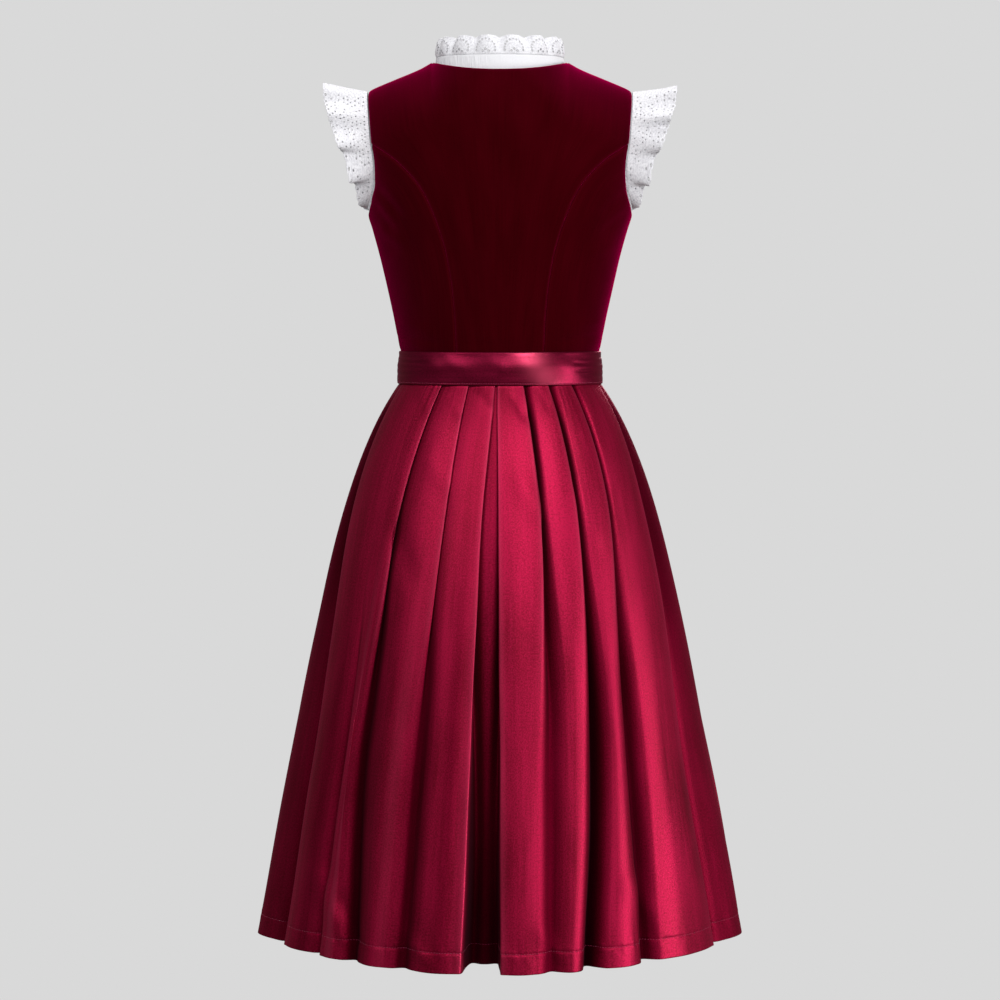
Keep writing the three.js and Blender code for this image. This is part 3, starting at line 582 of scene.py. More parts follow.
# where the seams run: height, distance from the middle
backSeamRows = [
    (-372, 53),
    (-301, 56.5),
    (-251, 63),
    (-206, 75),
    (-157, 97),
    (-124, 127),
    (-102, 158.5),
]
frontSeamRows = [
    (-372, 46),
    (-301, 53),
    (-251, 66),
    (-206, 80),
    (-157, 104),
    (-124, 132),
    (-102, 158.5),
]
cut = {
    "roundness": 0.9,
    "ridgeY": -6.0,
    "ridgeRounding": 90.0,
    "neckSteepness": 1.2,
    "neckCornerX": 84.5,
    "shoulderTipX": 163.0,
    "shoulderTipZ": -36.0,
    "armholeSideZ": -102.0,
    "underarmZ": -186.0,
    "bodiceHemZ": -372.0,
    "blouseHemZ": -240.0,
    "armholeTopTurn": 56.0,
    "armholeMiddleTurn": 62.0,
    "armholeStraight": 0.4,  # share of an armhole that runs straight, from the shoulder
    "gap": 0.3,
}
cut["corner"] = cut["neckCornerX"] / cut["shoulderTipX"]


def ridgeZ(x):
    reach = np.abs(x)
    neck = (cut["neckCornerX"] - reach) * cut["neckSteepness"]
    return np.where(reach < cut["neckCornerX"], neck, reading(shoulderRows, 1, reach))


def torsoPoint(turn, z):
    turn, z = np.broadcast_arrays(np.asarray(turn, float), np.asarray(z, float))
    cosine = np.cos(np.radians(turn))
    depth = np.where(cosine > 0, reading(torsoRows, 2, z), reading(torsoRows, 3, z))
    x = reading(torsoRows, 1, z) * np.sin(np.radians(turn))
    bodyY = -np.sign(cosine) * depth * np.abs(cosine) ** cut["roundness"]
    below = np.clip((ridgeZ(x) - z) / cut["ridgeRounding"], 0, 1)
    rounding = np.sqrt(1 - (1 - below) ** 2)
    return np.stack([x, mix(cut["ridgeY"], bodyY, rounding), z], axis=-1)


def torsoTurn(x, z, front):
    turn = np.degrees(np.arcsin(np.clip(x / reading(torsoRows, 1, z), -1, 1)))
    return 180 - turn if front else turn


def torsoNormal(turn, z):
    across = torsoPoint(turn + 1, z) - torsoPoint(turn - 1, z)
    up = torsoPoint(turn, z + 2) - torsoPoint(turn, z - 2)
    return unit(np.cross(across, up))


def armholeSpot(share):
    # turn and height along the armhole, from the shoulder tip to the underarm
    straight = cut["armholeStraight"]
    share = np.asarray(share, float)
    t = np.clip(share / straight, 0, 1)
    angle = np.clip((share - straight) / (1 - straight), 0, 1) * math.pi / 2
    side, middle = 90.0, cut["armholeMiddleTurn"]
    turn = np.where(
        share < straight,
        mix(cut["armholeTopTurn"], middle, t),
        side - (side - middle) * np.cos(angle),
    )
    z = np.where(
        share < straight,
        mix(cut["shoulderTipZ"], cut["armholeSideZ"], t),
        cut["armholeSideZ"] - (cut["armholeSideZ"] - cut["underarmZ"]) * np.sin(angle),
    )
    return turn, z


def upperEdgeZ(x, neckDrop):
    reach = np.abs(x)
    neckline = -neckDrop * (1 - np.clip(reach / cut["neckCornerX"], 0, 1) ** 2.4)
    shoulder = reading(shoulderRows, 1, reach)
    return np.where(reach >= cut["neckCornerX"], shoulder, neckline)


def middleEdgeTurn(z, front):
    seam = reading(frontSeamRows if front else backSeamRows, 1, z)
    onSeam = np.degrees(np.arcsin(np.clip(seam / reading(torsoRows, 1, z), -1, 1)))
    t = (cut["shoulderTipZ"] - z) / (cut["shoulderTipZ"] - cut["armholeSideZ"])
    onArmhole = mix(cut["armholeTopTurn"], cut["armholeMiddleTurn"], t)
    return np.where(z < cut["armholeSideZ"], onSeam, onArmhole)


bodice = {
    "wall": 1.5,
    "backNeckDrop": 12.0,
    "frontNeckDrop": 150.0,
    "edgeRoll": 1.3,  # how far a finished edge turns in
    "seamRoll": 1.1,  # depth of the groove at a seam
    "seamReach": 3.2,
    "seamTone": (1.6, 1.3, 0.55),  # lighter pile beside a seam: how far off, reach, strength
    "unevenness": 0.55,
    # creases: x, z to x, z, width and height
    "sideBackLeft": [
        (-158, -150, -118, -196, 7, -2.4),
        (-160, -172, -128, -214, 6, -2.0),
        (-150, -200, -112, -232, 8, 1.6),
        (-140, -232, -100, -226, 8, -1.2),
    ],
    "sideBackRight": [
        (160, -158, 124, -190, 7, -1.5),
        (158, -184, 122, -214, 7, -1.4),
        (146, -222, 104, -238, 9, 1.2),
    ],
    "waist": [
        (-128, -338, -70, -346, 4, -1.2),
        (-126, -322, -84, -330, 5, 1.0),
        (-60, -346, 20, -350, 4, -0.8),
        (-30, -336, 44, -342, 6, 0.6),
        (126, -336, 66, -344, 4, -1.1),
        (128, -318, 88, -326, 5, 0.9),
        (10, -326, 60, -322, 6, -0.5),
    ],
}


def denseTo(*spans):
    # even steps between marks, given as (from, to, steps)
    parts = [np.linspace(a, b, int(n), endpoint=False) for a, b, n in spans]
    return np.concatenate([*parts, [spans[-1][1]]])


def bodiceUnevenness(points, front):
    x, z = points[..., 0], points[..., 2]
    height = bodice["unevenness"] * wander(x / 26, z / 34, 11 if front else 3)
    height = height + creaseHeight(x, z, bodice["waist"])
    if not front:
        height = height + creaseHeight(x, z, bodice["sideBackLeft"])
        height = height + creaseHeight(x, z, bodice["sideBackRight"])
    return height


def rolled(distance, reach, depth):
    # how far the cloth has turned in at a distance from its edge
    return -depth * (1 - np.clip(distance / reach, 0, 1)) ** 2


def seamTone(distance):
    off, reach, strength = bodice["seamTone"]
    return strength * hump(distance - off, reach)


def addMiddlePanel(name, node, columns, front, neckDrop):
    levels = denseTo((cut["bodiceHemZ"], -110, 56), (-110, -44, 40), (-44, cut["shoulderTipZ"], 14))
    atZ, column = np.meshgrid(levels, columns, indexing="ij")
    reach = np.abs(column)
    share = (atZ - cut["bodiceHemZ"]) / (cut["shoulderTipZ"] - cut["bodiceHemZ"])

    def edgeX(z):
        turn = middleEdgeTurn(z, front)
        return reading(torsoRows, 1, z) * np.sin(np.radians(turn))

    inner = np.minimum(reach, cut["corner"])
    lowX = inner * edgeX(np.array(cut["bodiceHemZ"]))
    innerX = mix(lowX, inner * cut["shoulderTipX"], share**1.3)
    spread = np.clip((reach - cut["corner"]) / (1 - cut["corner"]), 0, 1)
    x = mix(innerX, edgeX(atZ), spread) * np.sign(column)
    topZ = upperEdgeZ(column * cut["shoulderTipX"], neckDrop)
    z = mix(cut["bodiceHemZ"], topZ, share)
    points = torsoPoint(torsoTurn(x, z, front), z)
    onRidge = (share > 0.9999) & (reach >= cut["corner"] - tiny)
    side = cut["gap"] if front else -cut["gap"]
    points[..., 1] = np.where(onRidge, cut["ridgeY"] + side, points[..., 1])

    height = bodiceUnevenness(points, front)
    # the neckline and shoulder turn in, and so do the seams
    down = np.maximum(topZ - z, 0)
    height = height * smoothStep(down, 0, 26)
    height = height + rolled(down, 5.0, bodice["edgeRoll"]) * (reach < cut["corner"])
    fromEdge = (1 - reach) * np.abs(edgeX(atZ))
    height = height + rolled(fromEdge, bodice["seamReach"], bodice["seamRoll"])
    if front:
        height = height + rolled(np.abs(x), 3.0, 0.9)
    points = pushed(points, height)
    tone = seamTone(fromEdge) * (atZ < cut["armholeSideZ"] - 4)
    standsFor(clothPiece(name, points, velvet, bodice["wall"], paintedLightAndSeamTone=tone), node)


def addSidePanel(name, node, sign, front):
    rows = np.linspace(0, 1, 84)
    columns = denseTo((0, 0.08, 6), (0.08, 0.92, 44), (0.92, 1, 6))
    row, column = np.meshgrid(rows, columns, indexing="ij")

    def seam(share):
        z = mix(cut["bodiceHemZ"], cut["armholeSideZ"], share)
        return middleEdgeTurn(z - 0.001, front), z

    def side(share):
        z = mix(cut["bodiceHemZ"], cut["underarmZ"], share)
        return np.full(np.shape(share), 90.0), z

    def topEdge(share):
        turn, z = armholeSpot(mix(cut["armholeStraight"], 1, share))
        middle = cut["armholeMiddleTurn"]
        along = (turn - middle) / (90 - middle)
        first, last = seam(np.array(1.0))[0], side(np.array(1.0))[0]
        return mix(first, last, along), z

    def bottom(share):
        first, last = seam(np.array(0.0))[0], side(np.array(0.0))[0]
        return mix(first, last, share), np.full(np.shape(share), cut["bodiceHemZ"])

    def blend(k):
        atHem, atArm = np.array(0.0), np.array(1.0)
        low = mix(seam(atHem)[k], side(atHem)[k], column)
        high = mix(seam(atArm)[k], side(atArm)[k], column)
        byRow = mix(bottom(column)[k], topEdge(column)[k], row)
        byColumn = mix(seam(row)[k], side(row)[k], column)
        return byRow + byColumn - mix(low, high, row)

    turn, z = blend(0) * sign, blend(1)
    turn = 180 * sign - turn if front else turn
    points = torsoPoint(turn, z)
    height = bodiceUnevenness(points, front)
    wide = np.abs(seam(row)[0] - 90) * 2.6
    height = height + rolled(column * wide, bodice["seamReach"], bodice["seamRoll"])
    height = height + rolled((1 - column) * wide, 3.0, 0.8)
    height = height + rolled((1 - row) * 190, 4.5, bodice["edgeRoll"])
    points = pushed(points, height)
    tone = seamTone(column * wide)
    standsFor(clothPiece(name, points, velvet, bodice["wall"], paintedLightAndSeamTone=tone), node)


def addBodice():
    half = denseTo((0, 0.46, 34), (0.46, 0.56, 12), (0.56, 0.95, 34), (0.95, 1, 10))
    both = np.concatenate([-half[:0:-1], half])
    addMiddlePanel("velvetBack", "bodice_back", both, False, bodice["backNeckDrop"])
    half = denseTo(
        (0.002, 0.03, 5), (0.03, 0.4, 26), (0.4, 0.56, 24), (0.56, 0.95, 26), (0.95, 1, 10)
    )
    drop = bodice["frontNeckDrop"]
    for side, sign in (("Right", 1), ("Left", -1)):
        node = side.lower()
        addMiddlePanel(f"velvetFront{side}", f"bodice_front_{node}", half * sign, True, drop)
        addSidePanel(f"velvetSideBack{side}", f"bodice_side_back_{node}", sign, False)
        addSidePanel(f"velvetSideFront{side}", f"bodice_side_front_{node}", sign, True)


addBodice()
print("bodice is sewn")

skirt = {
    "wall": 0.55,
    "bandBottomZ": -397.0,
    "length": 692.0,
    "waist": (126.0, 94.0, 97.0),  # half-width, depth behind, depth in front
    "slope": (0.1895, 0.16, 0.165),
    "flare": (48.4, 35.0, 36.0),
    "flareLength": 94.0,
    "sidePointing": 0.6,
    "layerStep": 1.5,  # how far one layer of a fold lies behind the next
    "opening": (40, 580),  # drops between which the folds open
    "gapOpening": (0, 70),  # the same for a fold that stands open
    "softening": (150, 480),  # and for the pressed edges that turn round
    "growing": 220,  # length in which a fold grows that begins lower down
    "innerTones": (150, 430),  # drops between which the panels get their painted light and shade
    "outerTones": (0, 40),
    "outerFading": (150, 420),
    "fullPanel": 70.0,  # a narrower panel stays flatter
    "hemStitch": 24.0,  # above the hem
    "bulge": 5.0,
    "edgeShine": 0.45,
    "blotch": 1.5,  # height of the cloth's slow unevenness
    "pucker": 0.7,
    "gather": 0.35,
    # soft dents of the back: x, z to x, z, width and height
    "backDents": [
        (-226, -985, -190, -1062, 14, 3.0),
        (-196, -1010, -172, -1072, 9, -2.6),
        (-120, -1040, -84, -1080, 8, 1.8),
        (40, -1030, 74, -1078, 9, 1.8),
        (150, -980, 190, -1050, 12, 2.2),
        (-112, -402, -92, -436, 7, -0.9),
        (-64, -404, -48, -438, 6, -0.9),
        (-30, -402, -6, -432, 5, 1.1),
        (12, -404, 34, -440, 6, -1.3),
        (50, -404, 60, -430, 5, -0.6),
        (-92, -470, -60, -520, 12, 1.6),
        (20, -500, 52, -560, 12, 1.8),
        (96, -520, 120, -590, 11, 1.6),
        (-130, -560, -104, -640, 12, -1.6),
    ],
}
stations = [0, 140, 280, 450, 692]  # drops at which the edge of a fold is placed
plainFold = {
    "edge": (0, 0, 0, 0, 0),  # at the stations, as shares of the half-width
    "lean": 1,  # 1 with the pressed edge to the right, -1 to the left
    "under": 24,  # overlap at the waist
    "open": -8,  # overlap at the hem
    "deep": 18,  # depth at the hem
    "rise": 0.45,  # share of the depth that the cloth is still in by as it comes out again
    "gap": 0,  # how far it stands open under the band
    "from": None,  # drop at which it begins
    "dim": (0.4, 0.7),  # painted shade inside at the waist and at the hem
    "dimSpan": (60, 330),  # drops between which that changes
    "farDim": 0.45,  # share of the painted shade on the far side
    "soft": 0.7,  # how round it gets
    "panelBefore": [0.0] * 6,  # painted light and shade across the panel before the first fold
    "panel": [0.0] * 6,  # and across the panel after each
}
backFolds = [
    {
        "edge": (-0.966, -0.944, -0.908, -0.892, -0.885),
        "lean": -1, "under": 20, "open": 2, "deep": 14, "soft": 0.3,
        "dim": (0.9, 0.6), "farDim": 1.0,
        "panelBefore": [-0.4, -0.45, -0.5, -0.6, -0.7, -0.75],
        "panel": [-0.1, -0.1, -0.15, -0.35, -0.4, -0.2],
    },
    {
        "edge": (-0.735, -0.735, -0.727, -0.735, -0.729),
        "lean": -1, "under": 4, "open": 4, "deep": 8, "soft": 0.5,
        "from": 230, "dim": (0.0, 0.6),
        "panel": [0.4, 0.55, 0.55, 0.45, 0.2, -0.15],
    },
    {
        "edge": (-0.567, -0.627, -0.64, -0.665, -0.615),
        "lean": 1, "under": 20, "open": -8, "deep": 12, "soft": 0.85,
        "dim": (0.4, 0.9),
        "panel": [-0.35, -0.25, -0.15, 0.0, 0.2, 0.2],
    },
    {
        "edge": (-0.304, -0.336, -0.367, -0.398, -0.41),
        "lean": 1, "under": 27, "open": -8, "deep": 9, "soft": 0.85,
        "dim": (0.3, 0.75),
        "panel": [-0.3, 0.0, -0.1, -0.3, -0.35, 0.1],
    },
    {
        "edge": (-0.047, -0.105, -0.124, -0.133, -0.15),
        "lean": 1, "under": 27, "open": -2, "deep": 52, "soft": 0.15,
        "rise": 1.1, "dim": (0.15, 0.85), "dimSpan": (180, 680), "farDim": 1.0,
    },
    {
        "edge": (-0.027, -0.014, -0.008, -0.006, -0.004),
        "lean": -1, "under": 13, "open": -2, "deep": 52, "soft": 0.1,
        "rise": 1.1, "dim": (0.25, 0.85), "dimSpan": (180, 680), "farDim": 1.0,
    },
    {
        "edge": (0.228, 0.252, 0.246, 0.222, 0.184),
        "lean": 1, "under": 15, "open": -8, "deep": 7, "soft": 1.0,
        "gap": 12, "dim": (1.0, 0.6), "farDim": 1.0,
    },
    {
        "edge": (0.472, 0.484, 0.469, 0.436, 0.345),
        "lean": 1, "under": 25, "open": -12, "deep": 18, "soft": 0.9,
        "gap": 15, "dim": (1.0, 1.0), "farDim": 1.0,
    },
    {
        "edge": (0.698, 0.693, 0.64, 0.611, 0.579),
        "lean": 1, "under": 24, "open": -9, "deep": 12, "soft": 0.9,
        "gap": 15, "dim": (1.0, 0.8), "farDim": 1.0,
    },
    {
        "edge": (0.97, 0.92, 0.903, 0.872, 0.875),
        "lean": 1, "under": 28, "open": 2, "deep": 12, "soft": 0.3,
        "dim": (0.9, 0.55),
        "panel": [-0.75, -0.65, -0.55, -0.5, -0.45, -0.4],
    },
]
frontFolds = [
    {"edge": (0.9, 0.89, 0.88, 0.87, 0.86), "lean": 1, "under": 24, "open": -4, "deep": 18},
    {"edge": (0.62, 0.62, 0.61, 0.6, 0.61), "lean": -1, "under": 26, "open": -8, "deep": 22},
    {"edge": (0.3, 0.31, 0.31, 0.3, 0.29), "lean": -1, "under": 26, "open": -10, "deep": 26},
    {"edge": (-0.3, -0.3, -0.29, -0.3, -0.31), "lean": 1, "under": 26, "open": -10, "deep": 24},
    {"edge": (-0.62, -0.61, -0.6, -0.61, -0.6), "lean": 1, "under": 26, "open": -8, "deep": 22},
    {"edge": (-0.9, -0.9, -0.88, -0.87, -0.85), "lean": -1, "under": 24, "open": -4, "deep": 18},
]


def skirtSize(drop, key):
    d = np.maximum(drop, 0.0)
    quick = skirt["flare"][key] * (1 - np.exp(-d / skirt["flareLength"]))
    tuck = np.where(np.asarray(drop) < 0, 1.0, 0.0)
    return skirt["waist"][key] - tuck + skirt["slope"][key] * d + quick


def skirtPoint(turn, drop):
    angle = np.radians(turn)
    cosine = np.cos(angle)
    depth = np.where(cosine > 0, skirtSize(drop, 1), skirtSize(drop, 2))
    power = cut["roundness"] + skirt["sidePointing"] * np.clip(drop / skirt["length"], 0, 1)
    x = skirtSize(drop, 0) * np.sin(angle)
    return np.stack([x, -np.sign(cosine) * depth * np.abs(cosine) ** power], axis=-1)


def widthOfDegree(turn, drops):
    ahead, behind = skirtPoint(turn + 0.5, drops), skirtPoint(turn - 0.5, drops)
    return np.linalg.norm(ahead - behind, axis=-1)


# Every point of the skirt is named by a turn from centre back, a length round and a height out.
def skirtSpot(turn, drop, along, out):
    turn, drop, along, out = np.broadcast_arrays(turn, drop, along, out)
    moved = turn + along / widthOfDegree(turn, drop)
    tangent = unit(skirtPoint(moved + 0.5, drop) - skirtPoint(moved - 0.5, drop))
    outward = np.stack([tangent[..., 1], -tangent[..., 0]], axis=-1)
    return skirtPoint(moved, drop) + outward * out[..., None]


def foldTurn(fold, drops, front):
    rows = list(zip(stations, fold["edge"]))
    turn = np.degrees(np.arcsin(reading(rows, 1, drops)))
    return 180 - turn if front else turn


# The lines of one fold down the skirt, each a turn, a length along, a height out and a tone: above 0
# for the painted highlight of the pressed edge, below 0 for the painted shade inside.
def foldLines(fold, drops, turn, room):
    down = np.clip(drops / skirt["length"], 0, 1)
    opening = smoothStep(drops, *skirt["opening"])
    step = skirt["layerStep"] * (1 + 2 * down)
    under = np.minimum(mix(fold["under"], fold["open"], opening), room - 3)
    zero = np.zeros_like(drops)
    # a gapped fold stands open from just under the band
    opened = smoothStep(drops, *skirt["gapOpening"]) if fold["gap"] else zero
    gap = fold["gap"] * opened * (1 - 0.6 * down)
    deep = fold["deep"] * down**1.15 + gap
    shelf = 2 * step * (np.clip(under, 0, room) / room)
    emerge = np.minimum(2.0, room * 0.3)
    spread = 3 * opening
    start = mix(mix(emerge, -1.0, opened), -under + 14, opening)
    startOut = mix(-2 * step - gap, -fold["rise"] * deep, opening)
    dim = mix(*fold["dim"], smoothStep(drops, *fold["dimSpan"]))
    # both ways of lying have the same lines, each with its length along, height and tone
    crisp = [
        (-3.2 - 5 * opening, zero + 0.15, zero + 0.1),
        (-0.6 - 0.6 * opening, zero, zero + 0.55),
        (zero, -0.55 * step, zero + 0.3),
        (-1.2 + 0.8 * opening, -step - 0.12 * deep, -dim),
        (-under - spread, -shelf - step - deep, -dim),
        (-under + spread, -shelf - 2 * step - deep, -dim),
        (start + 1.5 * opened, startOut, -fold["farDim"] * dim),
    ]
    rounded = [
        (zero - 15, zero, zero),
        (zero - 9, -0.1 * deep, -0.25 * dim),
        (zero - 3, -0.4 * deep, -0.65 * dim),
        (zero + 1, -0.72 * deep, -0.95 * dim),
        (zero + 5, -0.96 * deep, -dim),
        (zero + 9, -deep, -dim),
        (zero + 14, -0.66 * deep, -0.75 * dim),
    ]
    if fold["gap"]:
        crisp += [
            (start + 4.5 + 3 * down, 0.55 * startOut, -0.5 * dim),
            (start + 8.5 + 4 * down, 0.12 * startOut, zero),
        ]
        rounded += [
            (zero + 19, -0.34 * deep, -0.4 * dim),
            (zero + 24, -0.1 * deep, -0.1 * dim),
        ]
    soft = fold["soft"] * smoothStep(drops, *skirt["softening"])
    begin = fold["from"]
    grown = smoothStep(drops, begin, begin + skirt["growing"]) if begin else zero + 1
    made = []
    for k, pair in enumerate(zip(crisp, rounded)):
        along, out, tone = (mix(a, b, soft) for a, b in zip(*pair))
        along = fold["lean"] * mix((k - 2) * 2.5, along, grown)
        made.append((turn, along, out * grown, tone * grown))
    return made


# The hollow or round form of the cloth between one fold and the next.
def panelLines(start, end, drops, tones, strength):
    (turnA, alongA, outA), (turnB, alongB, outB) = start, end
    perDegree = widthOfDegree(0.5 * (turnA + turnB), drops)
    first, last = turnA + alongA / perDegree, turnB + alongB / perDegree
    down = np.clip(drops / skirt["length"], 0, 1)
    # a narrow panel stays flatter than a broad one
    broad = np.clip((last - first) * perDegree / skirt["fullPanel"], 0, 1)
    swell = skirt["bulge"] * (0.08 + down) * broad
    count = len(tones)
    made = []
    # each line also carries the panel's painted light and shade
    for t, tone in zip((np.arange(count) + 0.7) / (count + 0.4), tones):
        out = outA * (1 - t) ** 2.2 + outB * t**2.2
        out = out + swell * math.sin(math.pi * t)
        made.append((mix(first, last, t), 0 * drops, out, tone * strength))
    return made


def skirtLines(folds, drops, front):
    first = 90.0 if front else -90.0
    last = first + 180
    folds = [{**plainFold, **fold} for fold in folds]
    turns = [foldTurn(fold, drops, front) for fold in folds]
    perDegree = widthOfDegree(0.0, drops)
    zero = np.zeros_like(drops)
    lines = [(first + zero, zero, zero, zero)]
    before = (first + zero, zero, zero)
    inner = smoothStep(drops, *skirt["innerTones"])
    # the two outermost panels have their painted light and shade from the band down
    outer = smoothStep(drops, *skirt["outerTones"])
    outer = outer * (1 - 0.5 * smoothStep(drops, *skirt["outerFading"]))
    tones, strength = folds[0]["panelBefore"], outer
    for i, fold in enumerate(folds):
        previous = turns[i - 1] if i else first + zero
        following = turns[i + 1] if i + 1 < len(folds) else last + zero
        beside = turns[i] - previous if fold["lean"] > 0 else following - turns[i]
        room = np.abs(beside) * perDegree
        made = foldLines(fold, drops, turns[i], room)
        if fold["lean"] < 0:
            made = made[::-1]
        # two folds that face each other share one groove, with no panel in it
        if not (i and folds[i - 1]["lean"] > 0 and fold["lean"] < 0):
            lines += panelLines(before, made[0][:3], drops, tones, strength)
        lines += made
        before = made[-1][:3]
        tones, strength = fold["panel"], inner
    lines += panelLines(before, (last + zero, zero, zero), drops, tones, outer)
    lines.append((last + zero, zero, zero, zero))
    return lines


# Rounds a line of control columns: three columns for each, on a smooth curve.
def roundedColumns(values, per=3):
    inner = values[:, 1:-1]
    before = 0.5 * (values[:, :-2] + inner)
    after = 0.5 * (inner + values[:, 2:])
    made = [values[:, :1]]
    for u in np.arange(per) / per:
        made.append((1 - u) ** 2 * before + 2 * u * (1 - u) * inner + u * u * after)
    woven = np.stack(made[1:], axis=2)
    shape = (values.shape[0], -1, *values.shape[2:])
    return np.concatenate([values[:, :1], woven.reshape(shape), values[:, -1:]], axis=1)


def addSkirt(name, node, folds, front):
    length = skirt["length"]
    hem = length - 30
    drops = denseTo((-17, 0, 3), (0, 60, 14), (60, 560, 42), (560, hem, 12), (hem, length, 20))
    spots, tones = [], []
    for turn, along, out, tone in skirtLines(folds, drops, front):
        spots.append(skirtSpot(turn, drops, along, out))
        tones.append(np.broadcast_to(tone, drops.shape))
    flat = roundedColumns(np.stack(spots, axis=1))
    tone = roundedColumns(np.stack(tones, axis=1)[..., None])[..., 0]
    # positive tones paint a highlight on the pressed edges, negative tones paint shade inside the
    # folds
    tone = np.where(tone > 0, skirt["edgeShine"] * tone, tone)
    z = np.broadcast_to((skirt["bandBottomZ"] - drops)[:, None], flat.shape[:2])
    points = np.concatenate([flat, z[..., None]], axis=-1)

    # slow unevenness, and at the hem a stitched line with puckers
    steps = np.linalg.norm(np.diff(points[-1], axis=0), axis=1)
    across = np.concatenate([[0], np.cumsum(steps)])[None, :]
    down = drops[:, None]
    share = np.clip(down / length, 0, 1)
    height = skirt["blotch"] * wander(across / 24, down / 62, 21 if front else 7) * share**0.6
    height = height + 0.8 * wander(across / 9, down / 120, 22 if front else 8) * share
    stitch = down - (length - skirt["hemStitch"])
    pucker = wander(across / 2.6, down / 9, 31 if front else 9, turns=4)
    height = height + skirt["pucker"] * pucker * hump(stitch, 9) - 0.5 * hump(stitch, 1.3)
    if not front:
        height = height + creaseHeight(points[..., 0], points[..., 2], skirt["backDents"])
    # gathered a little where it goes into the band
    gather = wander(across / 3.4, down / 26, 41 if front else 10)
    height = height + skirt["gather"] * gather * (1 - smoothStep(down, 4, 46))
    height[:, [0, -1]] = 0
    points = pushed(points, height)
    points[:, [0, -1], 1] = 0.01 if front else -0.01
    standsFor(clothPiece(name, points, satin, skirt["wall"], paintedLightAndSeamTone=tone), node)
    return points


backCloth = addSkirt("pleatedSkirtBack", "skirt_back", backFolds, False)
frontCloth = addSkirt("pleatedSkirtFront", "skirt_front", frontFolds, True)
print("skirt is pleated")

apron = {
    "bandTopZ": -356.0,
    "bandBottomZ": -396.7,
    "bandWaist": (126.1, 94.6, 98.6),
    "bandSwell": 2.2,
    "bandWall": 0.9,
    "bandEdge": 1.5,  # reach of the rounded edges
    "bandStitch": 2.2,  # above the lower edge
    "gleam": (46.0, 17.0, 0.45, 0.75),  # a soft painted highlight behind: x, reach, slant, strength
    # creases of the band: x, z to x, z, width and height
    "backCreases": [
        (-130, -362, -96, -364, 1.8, -0.9),
        (-131, -369, -88, -371, 2.0, -1.1),
        (-130, -377, -92, -376, 1.8, -1.0),
        (-131, -385, -98, -382, 1.9, -0.9),
        (130, -363, 98, -365, 1.8, -0.9),
        (131, -371, 90, -370, 2.1, -1.1),
        (130, -379, 94, -380, 1.8, -0.9),
        (131, -387, 100, -385, 1.8, -0.8),
        (22, -352, 50, -392, 15.0, 0.7),
        (56, -350, 92, -388, 9.0, 0.5),
        (-70, -362, -26, -386, 9.0, 0.5),
        (-24, -358, 14, -384, 9.0, 0.4),
        (-104, -364, -70, -378, 8.0, 0.5),
    ],
    "frontCreases": [
        (130, -364, 92, -368, 2.0, -0.9),
        (130, -378, 96, -377, 1.9, -0.9),
        (-20, -364, 40, -372, 3.0, -0.5),
        (-58, -364, -30, -370, 1.8, -0.9),
        (-60, -384, -28, -380, 1.8, -0.9),
    ],
    "length": 648.0,
    "sideTurn": 72.0,
    "waves": 10,
    "wall": 0.6,
    "off": (1.6, 10.0, 130.0),  # from the skirt: at the band, lower down, from what drop
    "wave": (0.6, 6.5),  # height at the band and at the hem
    "gathers": 46,
    "gatherHeight": 0.9,
    "hems": (9.0, 20.0),  # stitched lines in from the sides and up from the hem
}


def bandPoint(turn, z, out=0.0):
    turn, z = np.broadcast_arrays(np.asarray(turn, float), np.asarray(z, float))
    down = (apron["bandTopZ"] - z) / (apron["bandTopZ"] - apron["bandBottomZ"])
    grow = apron["bandSwell"] * smoothStep(down, 0, 0.5) + out
    cosine = np.cos(np.radians(turn))
    half, back, front = apron["bandWaist"]
    depth = np.where(cosine > 0, back, front) + grow
    y = -np.sign(cosine) * depth * np.abs(cosine) ** cut["roundness"]
    return np.stack([(half + grow) * np.sin(np.radians(turn)), y, z], axis=-1)


def addBand():
    top, bottom = apron["bandTopZ"], apron["bandBottomZ"]
    levels = denseTo((top, top - 3, 5), (top - 3, bottom + 3, 26), (bottom + 3, bottom, 5))
    turns = np.linspace(0, 360, 420, endpoint=False)
    z, turn = np.meshgrid(levels, turns, indexing="ij")
    points = bandPoint(turn, z)
    x = points[..., 0]
    behind = smoothStep(np.cos(np.radians(turn)), -0.08, 0.08)
    height = creaseHeight(x, z, apron["backCreases"]) * behind
    height = height + creaseHeight(x, z, apron["frontCreases"]) * (1 - behind)
    height = height + 0.35 * wander(turn / 9, z / 11, 51)
    fromEdge = np.minimum(top - z, z - bottom)
    height = height * smoothStep(fromEdge, 0, 5)
    height = height + rolled(fromEdge, apron["bandEdge"], 1.1)
    # the turned edge below shows its line of stitches
    stitchZ = bottom + apron["bandStitch"]
    height = height - 0.35 * hump(z - stitchZ, 0.7)
    points = pushed(points, height, ring=True)
    # painted highlight on the back of the band
    gleamX, reach, slant, strength = apron["gleam"]
    gleam = strength * hump(x - gleamX + slant * (z - 0.5 * (top + bottom)), reach) * behind
    thing = clothPiece(
        "waistBand",
        points,
        apronSatin,
        apron["bandWall"],
        ring=True,
        paintedLightAndSeamTone=gleam,
        grainRound=True,
    )
    standsFor(thing, "apron_band")
    row = int(np.argmin(np.abs(levels - stitchZ)))
    path = np.concatenate([points[row], points[row, :1]])
    facing = unit(path * level)
    sewn = stitchRow("waistBandStitches", path + 0.1 * facing, facing, thread, 3.0, 1.9)
    return sewn


